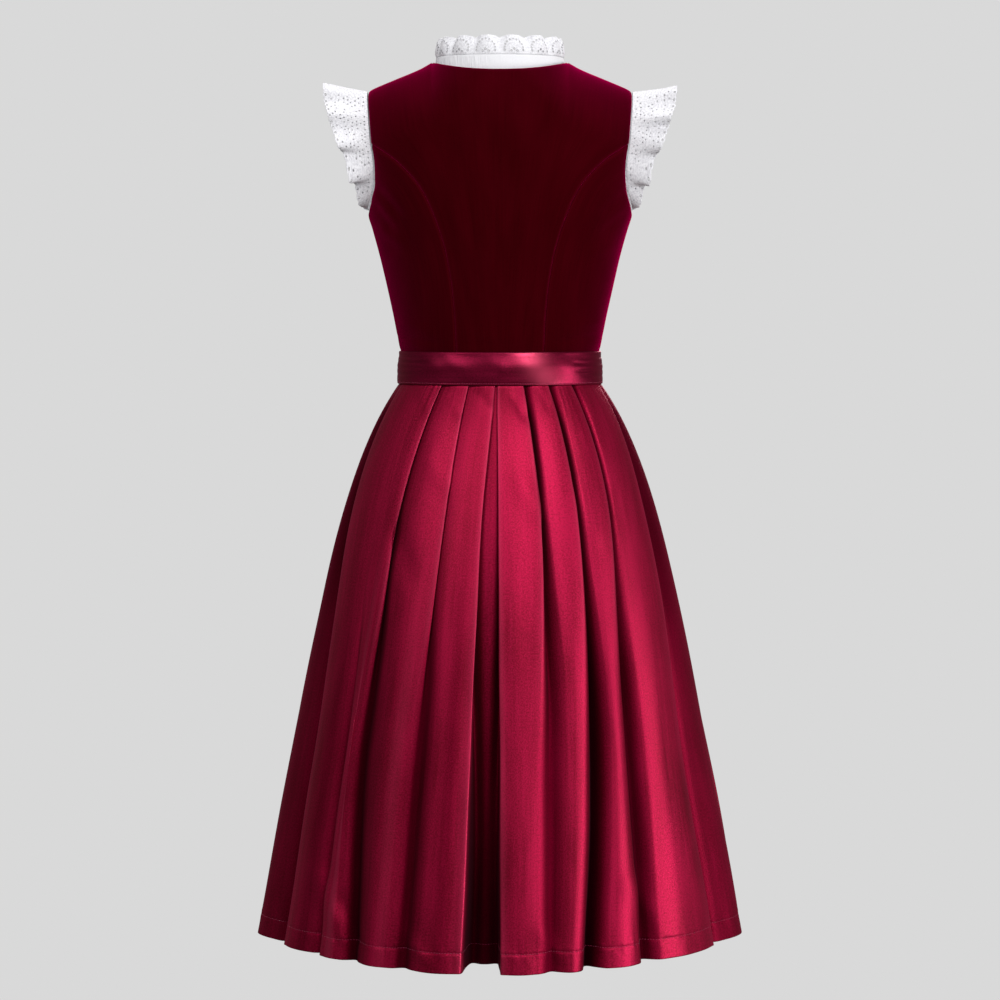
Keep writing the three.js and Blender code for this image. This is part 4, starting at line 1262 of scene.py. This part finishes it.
def apronPoint(turn, drop, out=0.0):
    turn, drop, out = np.broadcast_arrays(turn, drop, out)
    down = np.clip(drop / apron["length"], 0, 1)
    nearBand, lowDown, within = apron["off"]
    off = mix(nearBand, lowDown, smoothStep(drop, 0, within))
    across = (turn - 180) / apron["sideTurn"]
    wave = mix(*apron["wave"], down) * np.cos(across * apron["waves"] * math.pi / 2)
    flat = skirtSpot(turn, drop, 0.0, off + wave + out)
    z = skirt["bandBottomZ"] - drop
    return np.concatenate([flat, z[..., None]], axis=-1)


def addApronPanel():
    length, side = apron["length"], apron["sideTurn"]
    drops = denseTo((1, 60, 16), (60, length - 30, 60), (length - 30, length, 14))
    turns = np.linspace(180 - side, 180 + side, 260)
    drop, turn = np.meshgrid(drops, turns, indexing="ij")
    across = (turn - 180) / side
    share = drop / length
    phase = 1.4 * wander(across * 7, share * 1.5, 61)
    gather = np.cos(across * apron["gathers"] * math.pi + phase)
    gathered = (1 - smoothStep(drop, 8, 210)) * smoothStep(drop, 0, 7)
    height = apron["gatherHeight"] * gather * gathered
    height = height + 1.8 * wander(across * 6, share * 5, 62) * smoothStep(drop, 20, 260)
    # the sides and the hem are turned in and stitched
    sideStitch, hemStitch = apron["hems"]
    fromSide = (1 - np.abs(across)) * 400
    height = height - 0.5 * hump(fromSide - sideStitch, 1.3)
    height = height - 0.5 * hump(drop - length + hemStitch, 1.3)
    points = apronPoint(turn, drop, 0.5 + height)
    panel = clothPiece("apronPanel", points, apronSatin, apron["wall"])
    standsFor(panel, "apron_panel")


bandStitches = addBand()
addApronPanel()
print("apron is gathered into its band")

bow = {
    "turn": 208.0,
    "knotHalf": (14.0, 8.0, 17.0),  # sideways, outwards, up
    "standOff": 0.8,  # how far it leans out for each millimetre below the band
    "wall": 0.6,
    # side from the knot, forward from the band, half the height, up
    "loopRows": [
        (13.8, 10, 9, 0),
        (38, 19, 15, 3),
        (62, 20, 19, 0),
        (78, 13, 18, -5),
        (73, 7, 17, -6),
        (54, 8, 16, -2),
        (34, 9, 13, 1),
        (14.2, 7, 9, 0),
    ],
    # drop, width, sway, height off the apron
    "tailRows": [
        (-4.2, 14, -7.5, 7.5),
        (20, 24, 2, 9),
        (60, 34, 5, 8),
        (120, 38, 9, 7),
        (190, 40, 12, 7),
        (260, 40, 14, 7),
        (330, 40, 17, 7),
    ],
    "tailSpread": (11, 0.32),  # sideways from the knot, and by this share of the width
    "outerLift": 3.2,  # the outer tail lies over the inner one
    "outerShare": 0.86,  # and is that much shorter
    "apronFlatness": 1.4,
}


def bowPlace(side, forward, up):
    side, forward, up = np.broadcast_arrays(side, forward, up)
    top, bottom = apron["bandTopZ"], skirt["bandBottomZ"]
    middleZ = (top + bottom) / 2
    ahead, behind = bandPoint(bow["turn"] + 0.5, middleZ), bandPoint(bow["turn"] - 0.5, middleZ)
    perDegree = np.linalg.norm(ahead - behind)
    turn = bow["turn"] + side / perDegree
    z = middleZ + up
    base = bandPoint(turn, np.clip(z, bottom, top))
    outward = unit(torsoNormal(turn, np.full(turn.shape, top)) * level)
    clear = np.maximum(0, bottom - z) * bow["standOff"]
    made = base + outward * (forward + clear)[..., None]
    made[..., 2] = z
    return made


def closedCurve(rows, count):
    # an even closed curve through the rows
    table = np.array(rows, float)
    n = len(table)
    at = np.arange(count) * n / count
    i = at.astype(int)
    t = (at - i)[:, None]
    a, b, c, d = (table[(i + k) % n] for k in (-1, 0, 1, 2))
    squared = (2 * a - 5 * b + 4 * c - d) * t**2
    cubed = (3 * b - a - 3 * c + d) * t**3
    return 0.5 * (2 * b + (c - a) * t + squared + cubed)


def addKnot():
    # a strap round the middle of the bow, pinched in folds
    halfSide, halfOut, halfUp = bow["knotHalf"]
    angles = np.linspace(0, math.tau, 44, endpoint=False)
    along, angle = np.meshgrid(np.linspace(-1, 1, 22), angles, indexing="ij")
    pinch = 1 - 0.14 * np.abs(along) ** 2
    fold = 0.5 * np.cos(along * 9 + 0.8 * np.sin(angle * 2)) - 0.3
    up = (halfUp * pinch + fold) * np.sin(angle)
    forward = halfOut + (halfOut * pinch - 0.4 + 0.7 * fold) * np.cos(angle)
    points = bowPlace(along * halfSide, forward, up)
    knot = clothPiece("bowKnot", points, apronSatin, bow["wall"], ring=True)
    standsFor(knot, "bow_knot")


def addLoop(name, node, sign, seed):
    count, outerCount = 96, 40  # points round the loop, and how many of them face outwards
    path = closedCurve(bow["loopRows"], count)
    edge = np.linspace(-1, 1, 26)[:, None]
    side, forward, tall, rise = (path[None, :, k] for k in range(4))
    # pleats run out from the knot and die away
    near = 1 - smoothStep(side, 16, 66)
    ripple = 1.5 * near * np.cos(edge * 7.5 + seed)
    cup = -1.6 * (1 - near) * edge**2
    uneven = 0.9 * wander(edge * 2.2, side / 16, seed)
    facing = np.where(np.arange(count)[None, :] < outerCount, 1.0, -1.0)
    push = (ripple + cup + uneven) * facing * smoothStep(side, 14, 24)
    points = bowPlace(sign * side + 0 * edge, forward + 0.5 * push, rise + edge * tall)
    loop = clothPiece(name, points, apronSatin, bow["wall"], ring=True)
    standsFor(loop, node)


def addTail(name, node, sign, share, raised, seed):
    rows = bow["tailRows"]
    drops = denseTo((rows[0][0], 20, 10), (20, rows[-1][0], 90))
    base, edge = np.meshgrid(drops, np.linspace(-1, 1, 30), indexing="ij")
    width, sway, off = (reading(rows, k, base) for k in (1, 2, 3))
    drop = np.where(base > 0, base * share, base)
    start, byWidth = bow["tailSpread"]
    shift = sign * (start + sway + width * byWidth) + edge * width * 0.5
    below = np.maximum(drop, 0)
    spot = skirtSpot(bow["turn"], below, -shift, 0.0)
    reach = np.clip(spot[..., 0] / skirtSize(below, 0), -1, 1)
    turn = 180 - np.degrees(np.arcsin(reach))
    # the tie is folded in long pleats at the knot and hangs nearly flat lower down
    fresh = 1 - smoothStep(drop, 10, 190)
    lift = off + raised + 1.2 * np.cos(edge * 2 + drop * 0.02)
    lift = lift + 1.5 * fresh * np.cos(edge * 8 + seed)
    lift = lift + 1.1 * wander(edge * 1.3, drop / 30, seed)
    fromSide = (1 - np.abs(edge)) * 20
    lift = lift - 0.35 * hump(fromSide - 3, 0.8)
    onApron = apronPoint(turn, below)
    onBand = bandPoint(turn, skirt["bandBottomZ"] - drop)
    ground = np.where((drop > 0)[..., None], onApron, onBand)
    outward = unit(ground * np.array([1 / bow["apronFlatness"], 1.0, 0.0]))
    tail = clothPiece(name, ground + outward * lift[..., None], apronSatin, bow["wall"])
    standsFor(tail, node)


addKnot()
addLoop("bowLoopOuter", "bow_loop_outer", 1, 71)
addLoop("bowLoopInner", "bow_loop_inner", -1, 72)
addTail("bowTailInner", "bow_tail_inner", 1, 1.0, 0.0, 73)
addTail("bowTailOuter", "bow_tail_outer", -1, bow["outerShare"], bow["outerLift"], 74)
print("bow is tied")

blouse = {
    "wall": 0.6,
    "bodiceWall": 1.6,
    "ease": 3.2,
    "sideShare": 0.22,  # share of the height that is side seam
    "past": 0.8,  # degrees that the armhole edge shows past the velvet
    "sideReach": 140.0,
    "collarWall": 0.8,
    "collarHalf": 80.5,
    "collarDepth": (60.0, 66.0),  # behind and in front
    "collarMiddleY": -4.0,
    "collarBottomZ": -14.0,
    "collarTopZ": 6.0,
    "collarFrontDrop": 10.0,
    "collarLean": 1.5,
    "collarTucks": 2.1,  # degrees from one to the next
    "tuckPitch": 7.0,
    "tuckHeight": 0.8,
    "tuckReach": (15.0, 52.0),  # from the placket outwards
    "placketHalf": 12.0,
}


def collarPoint(turn, z, out=0.0):
    turn, z, out = np.broadcast_arrays(
        np.asarray(turn, float), np.asarray(z, float), np.asarray(out, float)
    )
    angle = np.radians(turn)
    cosine = np.cos(angle)
    behind, front = blouse["collarDepth"]
    depth = np.where(cosine > 0, behind, front)
    drop = blouse["collarFrontDrop"] * np.maximum(0, -cosine)
    x = (blouse["collarHalf"] + out) * np.sin(angle)
    return np.stack([x, blouse["collarMiddleY"] - (depth + out) * cosine, z - drop], axis=-1)


def blouseGrid(rows, columns, front):
    row, column = np.meshgrid(rows, columns, indexing="ij")
    reach = np.abs(column)
    corner = cut["corner"]
    gapTurn = math.degrees(cut["gap"] / blouse["sideReach"])
    sideShare = blouse["sideShare"]
    armTurn, armZ = armholeSpot(1 - np.clip((row - sideShare) / (1 - sideShare), 0, 1))
    lowZ = mix(cut["blouseHemZ"], cut["underarmZ"], row / sideShare)
    onSide = row < sideShare
    sideTurn, sideZ = np.where(onSide, 90.0, armTurn), np.where(onSide, lowZ, armZ)
    neckTurn = column / corner * 90
    neckTurn = 180 - neckTurn if front else neckTurn
    neckSpot = collarPoint(neckTurn, blouse["collarBottomZ"] - cut["gap"] - 0.2)
    side = cut["gap"] if front else -cut["gap"]
    neckSpot[..., 1] += side
    topX = column * cut["shoulderTipX"]
    topZ = np.where(reach <= corner, neckSpot[..., 2], upperEdgeZ(topX, bodice["backNeckDrop"]))
    sideRise = (sideZ - cut["blouseHemZ"]) / (cut["shoulderTipZ"] - cut["blouseHemZ"])
    z = mix(cut["blouseHemZ"], topZ, mix(row, sideRise, reach**2))
    past = np.where(row > sideShare, blouse["past"], -gapTurn)
    x = reading(torsoRows, 1, z) * np.sin(np.radians(column * (sideTurn + past)))
    placed = torsoTurn(mix(x, topX, smoothStep(row, 0.8, 1)), z, front)
    points, normal = torsoPoint(placed, z), torsoNormal(placed, z)
    last = row > 0.9999
    outside = last & (reach > corner + tiny)
    tilt = unit(np.stack([np.sign(column) * 0.3, 0 * column, 0 * column + 0.95], axis=-1))
    normal = np.where(outside[..., None], tilt, normal)
    points[..., 1] = np.where(outside, cut["ridgeY"] + side, points[..., 1])
    points = points - normal * (blouse["bodiceWall"] + blouse["ease"])
    return np.where((last & ~outside)[..., None], neckSpot, points)


def addBlouse(name, node, front):
    corner = cut["corner"]
    half = denseTo((0, corner, 64), (corner, 1, 34))
    columns = np.concatenate([-half[:0:-1], half])
    rows = denseTo((0, blouse["sideShare"], 14), (blouse["sideShare"], 0.93, 60))
    body = blouseGrid(rows, columns, front)
    end = blouseGrid(np.array([1.0]), columns, front)
    steps = np.linspace(0, 1, 14)[1:, None, None]
    # the last stretch runs up to the collar
    points = np.concatenate([body, mix(body[-1:], end, steps)], axis=0)
    x = points[..., 0]
    height = 0.5 * wander(x / 18, points[..., 2] / 26, 81 if front else 82)
    if front:
        low, high = blouse["tuckReach"]
        within = (np.abs(x) > low) & (np.abs(x) < high)
        tuck = np.abs((np.abs(x) - low) / blouse["tuckPitch"] % 1 - 0.5) * 2
        height = height + blouse["tuckHeight"] * np.clip(1 - tuck * 2.4, 0, 1) * within
        placket = smoothStep(blouse["placketHalf"] - np.abs(x), -0.6, 0.6)
        height = height + 0.9 * placket - 0.3 * hump(np.abs(x) - 10, 0.6)
    calm = np.ones(points.shape[:2])
    calm[0] = calm[-1] = 0
    calm[:, 0] = calm[:, -1] = 0
    points = pushed(points, height * calm)
    standsFor(clothPiece(name, points, cotton, blouse["wall"]), node)


def addCollarBand():
    turns = np.linspace(0, 360, 720, endpoint=False)
    rows = denseTo((0, 0.1, 4), (0.1, 0.9, 14), (0.9, 1, 4))
    share, turn = np.meshgrid(rows, turns, indexing="ij")
    z = mix(blouse["collarTopZ"], blouse["collarBottomZ"], share)
    base = collarPoint(turn, z, -blouse["collarLean"] * (1 - share))
    x = base[..., 0]
    # fine upright tucks, sharper on the left half of the back
    sharp = 0.25 + 0.75 * smoothStep(-x, 8, 30)
    tucks = np.abs(turn / blouse["collarTucks"] % 1 - 0.5) * 2
    height = 0.42 * sharp * (1 - tucks) + 0.5 * wander(turn / 9, share * 2, 83)
    height = height + 0.5 * sharp * wander(turn * 1.4, share * 6, 84) * (x < -6)
    fromEdge = np.minimum(share, 1 - share) * 20
    height = height * smoothStep(fromEdge, 0, 2.5) + rolled(fromEdge, 1.4, 0.6)
    points = pushed(base, height, ring=True)
    band = clothPiece("collarBand", points, cotton, blouse["collarWall"], ring=True)
    standsFor(band, "collar_band")


addBlouse("blouseBack", "blouse_back", False)
addBlouse("blouseFront", "blouse_front", True)
addCollarBand()
print("blouse is set under the bodice")

# The frills are cut flat, with a scalloped edge and holes for eyelets, and then gathered.
frill = {
    "height": 23.0,
    "pitch": 1.7,  # of the plain cloth's points
    "flutes": 14,
    "cutLength": 496.0,
    "wave": 4.2,
    "valley": 3.2,  # power that keeps the valleys narrow
    "lean": 8.0,
    "archDip": 3.6,  # how much lower the edge is between two arches
    "picot": 0.55,
    "picotPitch": 2.9,
    # rings of an eyelet: past its radius, raised, shaded
    "rim": [(0.0, 0.1, 1.0), (0.36, 0.4, 0.25), (0.85, 0.0, 0.0)],
    "wall": 0.45,
    # eyelets of one arch: across it (-1 to 1), up from the seam, radius
    "eyelets": [
        (-0.66, 4.6, 0.85),
        (-0.66, 8.2, 0.75),
        (-0.6, 11.8, 0.75),
        (-0.46, 15.0, 0.75),
        (-0.25, 17.6, 0.75),
        (0.0, 18.6, 0.75),
        (0.25, 17.6, 0.75),
        (0.46, 15.0, 0.75),
        (0.6, 11.8, 0.75),
        (0.66, 8.2, 0.75),
        (0.66, 4.6, 0.85),
        (-0.2, 4.0, 0.8),
        (0.0, 6.2, 0.95),
        (0.22, 3.8, 0.85),
    ],
}
cap = {
    "width": 52.0,
    "pitch": 2.2,
    "end": 0.86,  # how far round the armhole it reaches
    "start": 0.9,
    "taper": 1.8,
    "least": 3.0,
    "lift": (0.35, 0.13, 0.02),  # forwards, upwards and the sag
    "flutes": 4.6,
    "flute": 6.6,
    "overlap": 4.5,  # how far each flute folds over the one below
    "cutHalf": 176.0,  # half the length of the strip
    "scallop": 1.5,
    "scallopPitch": 8.0,
    "eyeletPitch": 6.2,
    "eyeletShare": 0.62,  # of the places that have one
    "eyeletMargin": 7.0,
    "eyelet": 0.5,
    "edgeEyelet": 0.8,
    "plainMiddle": 10.0,  # no eyelets this near the top
    "wall": 0.45,
}


def laceCloth(name, node, length, topOf, eyelets, place, look):
    pitch, sides = look["pitch"], 9  # how many sides an eyelet has
    topAt = np.linspace(0, length, int(length / 0.8))
    topHeight = topOf(topAt)
    bottomAt = np.linspace(0, length, int(length / pitch))
    outline = [(s, 0.0) for s in bottomAt]
    outline += [(length, h) for h in np.linspace(0, topHeight[-1], 5)[1:-1]]
    outline += list(zip(topAt[::-1], topHeight[::-1]))
    outline += [(0.0, h) for h in np.linspace(topHeight[0], 0, 5)[1:-1]]
    flat = [tuple(map(float, p)) for p in outline]
    raised = [0.3 if p[1] > 0.5 else 0.0 for p in flat]
    edges = [(i, (i + 1) % len(flat)) for i in range(len(flat))]
    shaded = {}
    for s, h, radius in eyelets:
        first = len(flat)
        for ring, (grow, lift, dim) in enumerate(frill["rim"]):
            for k in range(sides):
                angle = (k + 0.5 * ring) * math.tau / sides
                reach = radius + grow
                flat.append((s + reach * math.cos(angle), h + reach * math.sin(angle)))
                raised.append(lift)
                shaded[len(flat) - 1] = dim
        edges += [(first + k, first + (k + 1) % sides) for k in range(sides)]
    # the embroidered edge, then plain cloth
    for inwards, lift in ((0.7, 0.32), (1.5, 0.0)):
        for s in topAt[1:-1:2]:
            flat.append((s, float(np.interp(s, topAt, topHeight)) - inwards))
            raised.append(lift)
    centres = np.array([(s, h) for s, h, _ in eyelets])
    reaches = np.array([radius + 1.3 for _, _, radius in eyelets])
    for row, h in enumerate(np.arange(pitch, topHeight.max(), pitch)):
        for s in np.arange(pitch * (0.5 + 0.5 * (row % 2)), length - pitch * 0.4, pitch):
            clear = np.hypot(centres[:, 0] - s, centres[:, 1] - h) > reaches
            if h < np.interp(s, topAt, topHeight) - 2.2 and clear.all():
                flat.append((float(s), float(h)))
                raised.append(0.0)
    made = delaunay_2d_cdt([Vector(p) for p in flat], edges, [], 0, 1e-5)
    spots = np.array([tuple(v) for v in made[0]])
    origin = [ids[0] if ids else 0 for ids in made[3]]
    lifts = np.array([raised[i] for i in origin])
    dims = np.array([shaded.get(i, 0.0) for i in origin])
    faces = [tuple(f) for f in made[2] if len(f) == 3]
    middles = spots[np.array(faces)].mean(axis=1)
    inside = (middles[:, 1] < np.interp(middles[:, 0], topAt, topHeight)) & (middles[:, 1] > 0)
    for s, h, radius in eyelets:
        inside &= np.hypot(middles[:, 0] - s, middles[:, 1] - h) > radius * 0.93
    faces = [face for face, keep in zip(faces, inside) if keep]
    s, h = spots[:, 0], spots[:, 1]
    points = place(s, h)
    normal = unit(np.cross(place(s + 0.4, h) - points, place(s, h + 0.4) - points))
    if (normal * points * level).sum() < 0:
        normal = -normal
        faces = [face[::-1] for face in faces]
    points = points + normal * lifts[:, None]
    thing = meshPiece(name, points, faces, broderie, spots, dims)
    thicken(thing, look["wall"])
    standsFor(thing, node)


def addCollarFrill():
    length, count = frill["cutLength"], frill["flutes"]
    pitch = length / count

    def across(s):
        # -1 to 1 over each arch; the ends of the strip meet in the middle of the front
        return (s / pitch % 1) * 2 - 1

    def topOf(s):
        arch = frill["height"] - frill["archDip"] * np.abs(across(s)) ** 3
        return arch + frill["picot"] * np.abs(np.sin(s * math.pi / frill["picotPitch"]))

    def place(s, h):
        turn = s / length * 360 - 180
        share = np.clip(h / frill["height"], 0, 1.05)
        wave = 1 - 2 * np.abs(np.cos(np.radians(turn * count / 2))) ** frill["valley"]
        uneven = 1 + 0.3 * wander(turn / 14, 0.0, 91)
        lean = blouse["collarLean"] + frill["lean"] * share**2
        lean = lean + 1.2 * share * wander(turn / 30, 0.0, 92)
        out = frill["wave"] * uneven * wave * share**0.8 - lean
        z = blouse["collarTopZ"] + cut["gap"] + h
        return collarPoint(turn + 1.3 * share * wander(turn / 17, 0.0, 93), z, out)

    holes = []
    for arch in range(count):
        middle = (arch + 0.5) * pitch
        for u, h, radius in frill["eyelets"]:
            holes.append((middle + u * pitch / 2, h, radius))
    laceCloth("collarFrill", "collar_frill", length, topOf, holes, place, frill)


def addSleeveFrill(name, node, sign, seed):
    half, end = cap["cutHalf"], cap["end"]

    def widthAt(s):
        reach = np.clip(np.abs(s / half - 1), 0, 1)
        return cap["width"] * (1 - reach ** cap["taper"]) + cap["least"]

    def topOf(s):
        scallop = np.abs(np.sin(s * math.pi / cap["scallopPitch"])) ** 0.7
        return widthAt(s) - cap["scallop"] * (1 - scallop)

    def place(s, h):
        width = widthAt(s)
        share = np.clip(h / width, 0, 1.05)
        column = (s / half - 1) * end
        reach = np.abs(column)
        flare = reach / end + 0.05 * wander(column * 9, 0.0, seed)
        wave = np.sin(np.maximum(flare, 0) ** 0.92 * cap["flutes"] * math.tau)
        calm = np.minimum(1, width / 30)
        folded = reach + cap["overlap"] * wave * share * calm / (half / end)
        folded = np.where(reach < 0.03, reach, np.maximum(folded, 0))
        armTurn, z = armholeSpot(np.clip(folded, 0, 1))
        turn = np.where(column > 0, 180 - armTurn, armTurn)
        root = torsoPoint(turn, z)
        middleZ = (cut["shoulderTipZ"] + cut["underarmZ"]) / 2
        radial = np.stack([0 * z, root[:, 1] - cut["ridgeY"], root[:, 2] - middleZ], axis=-1)
        radial = unit(radial)
        forward, rise, sag = cap["lift"]
        outward = np.stack([0 * z + 1, radial[:, 1] * forward, radial[:, 2] * rise - sag], axis=-1)
        outward = unit(outward)
        ripple = cap["flute"] * wave + 1.5 * wander(column * 14, h / 22, seed + 1)
        points = root + outward * (cap["start"] + h)[:, None]
        points = points + radial * (ripple * share * calm)[:, None]
        points[:, 0] *= sign
        return points

    draw = np.random.default_rng(seed)
    holes = []
    step = cap["eyeletPitch"]
    for row, h in enumerate(np.arange(5.0, cap["width"], step * 0.8)):
        for s in np.arange(step * (0.6 + 0.5 * (row % 2)), 2 * half - 4, step):
            spot = (s + draw.uniform(-1.2, 1.2), h + draw.uniform(-1.0, 1.0))
            kept = draw.uniform() < cap["eyeletShare"] and abs(spot[0] - half) > cap["plainMiddle"]
            if spot[1] < widthAt(spot[0]) - cap["eyeletMargin"] and kept:
                holes.append((*spot, cap["eyelet"] * draw.uniform(0.8, 1.25)))
    for s in np.arange(cap["scallopPitch"] / 2, 2 * half, cap["scallopPitch"]):
        if widthAt(s) > 14 and abs(s - half) > cap["plainMiddle"]:
            holes.append((s, float(topOf(s)) - 3.0, cap["edgeEyelet"]))
    laceCloth(name, node, 2 * half, topOf, holes, place, cap)


addCollarFrill()
addSleeveFrill("sleeveFrillRight", "sleeve_frill_right", 1, 95)
addSleeveFrill("sleeveFrillLeft", "sleeve_frill_left", -1, 98)
print("frills are cut and gathered")

buttons = {
    "metal": {"count": 7, "low": -340.0, "high": -172.0, "beside": 9.0, "radius": 6.0, "petals": 8},
    "shirt": {"count": 4, "low": -115.0, "high": -43.0, "radius": 4.5},
}


def addButton(name, at, facing, radius, heightAt, material):
    # rings from under the rim, over it and in to the middle: share of the radius, height
    profile = [(0.0, 0.0), (0.93, 0.0), (1.0, 0.35), (1.0, 0.9)]
    profile += [(r, None) for r in np.linspace(0.97, 0.0, 22)]
    count = 40
    angles = np.arange(count) * math.tau / count
    sideways = unit(np.cross(facing, (0.0, 0.0, 1.0)))
    upwards = np.cross(sideways, facing)
    points = []
    for share, height in profile:
        tall = heightAt(share, angles) if height is None else np.full(count, height)
        reach = np.maximum(share * radius, 0.01)
        ring = np.cos(angles)[:, None] * sideways + np.sin(angles)[:, None] * upwards
        points.append(at + reach * ring + tall[:, None] * facing)
    faces = []
    for first in range(0, (len(points) - 1) * count, count):
        for k in range(count):
            a, b = first + k, first + (k + 1) % count
            faces.append((a, b, b + count, a + count))
    return meshPiece(name, np.concatenate(points), faces, material)


def metalHeight(share, angles):
    if share > 0.72:
        return np.full(angles.shape, 1.35 + 0.55 * math.exp(-(((share - 0.88) / 0.07) ** 2)))
    inner = share / 0.72
    petals = 0.3 * np.cos(angles * buttons["metal"]["petals"]) * math.sin(math.pi * inner)
    dome = 1.3 + 1.15 * (1 - inner**2) + 0.35 * math.exp(-((inner / 0.2) ** 2))
    return dome + petals


def shirtHeight(share, angles):
    rim = 1.2 + 0.7 * smoothStep(share, 0.5, 0.8)
    x, y = share * np.cos(angles), share * np.sin(angles)
    holes = 0.0
    for sx, sy in ((0.2, 0.2), (-0.2, 0.2), (0.2, -0.2), (-0.2, -0.2)):
        holes = holes + 0.8 * np.exp(-(((x - sx) ** 2 + (y - sy) ** 2) / 0.11**2))
    return rim - holes


def addButtons():
    row = buttons["metal"]
    for i, z in enumerate(np.linspace(row["low"], row["high"], row["count"])):
        turn = torsoTurn(row["beside"], z, True)
        facing = torsoNormal(turn, z)
        at = torsoPoint(turn, z) + facing * cut["gap"]
        made = addButton(f"metalButton{i + 1}", at, facing, row["radius"], metalHeight, metal)
        standsFor(made, f"bodice_button_{i + 1}")
    row = buttons["shirt"]
    inwards = 2 * cut["gap"] - blouse["bodiceWall"] - blouse["ease"]
    for i, z in enumerate(np.linspace(row["low"], row["high"], row["count"])):
        facing = torsoNormal(180.0, z)
        at = torsoPoint(180.0, z) + facing * inwards
        made = addButton(f"shirtButton{i + 1}", at, facing, row["radius"], shirtHeight, cotton)
        standsFor(made, f"blouse_button_{i + 1}")


def addHemStitches(name, points):
    # the row of the cloth where the hem is sewn up
    stitchZ = skirt["bandBottomZ"] - skirt["length"] + skirt["hemStitch"]
    row = int(np.argmin(np.abs(points[:, points.shape[1] // 2, 2] - stitchZ)))
    normal = gridNormals(points)
    if (normal * points * level).sum() < 0:
        normal = -normal
    path, facing = points[row, 2:-2], normal[row, 2:-2]
    thing = stitchRow(name, path + 0.1 * facing, facing, thread, 3.4, 2.1, 0.2)
    return thing


addButtons()
backHem = addHemStitches("hemStitchesBack", backCloth)
frontHem = addHemStitches("hemStitchesFront", frontCloth)
print("buttons and hems are sewn")
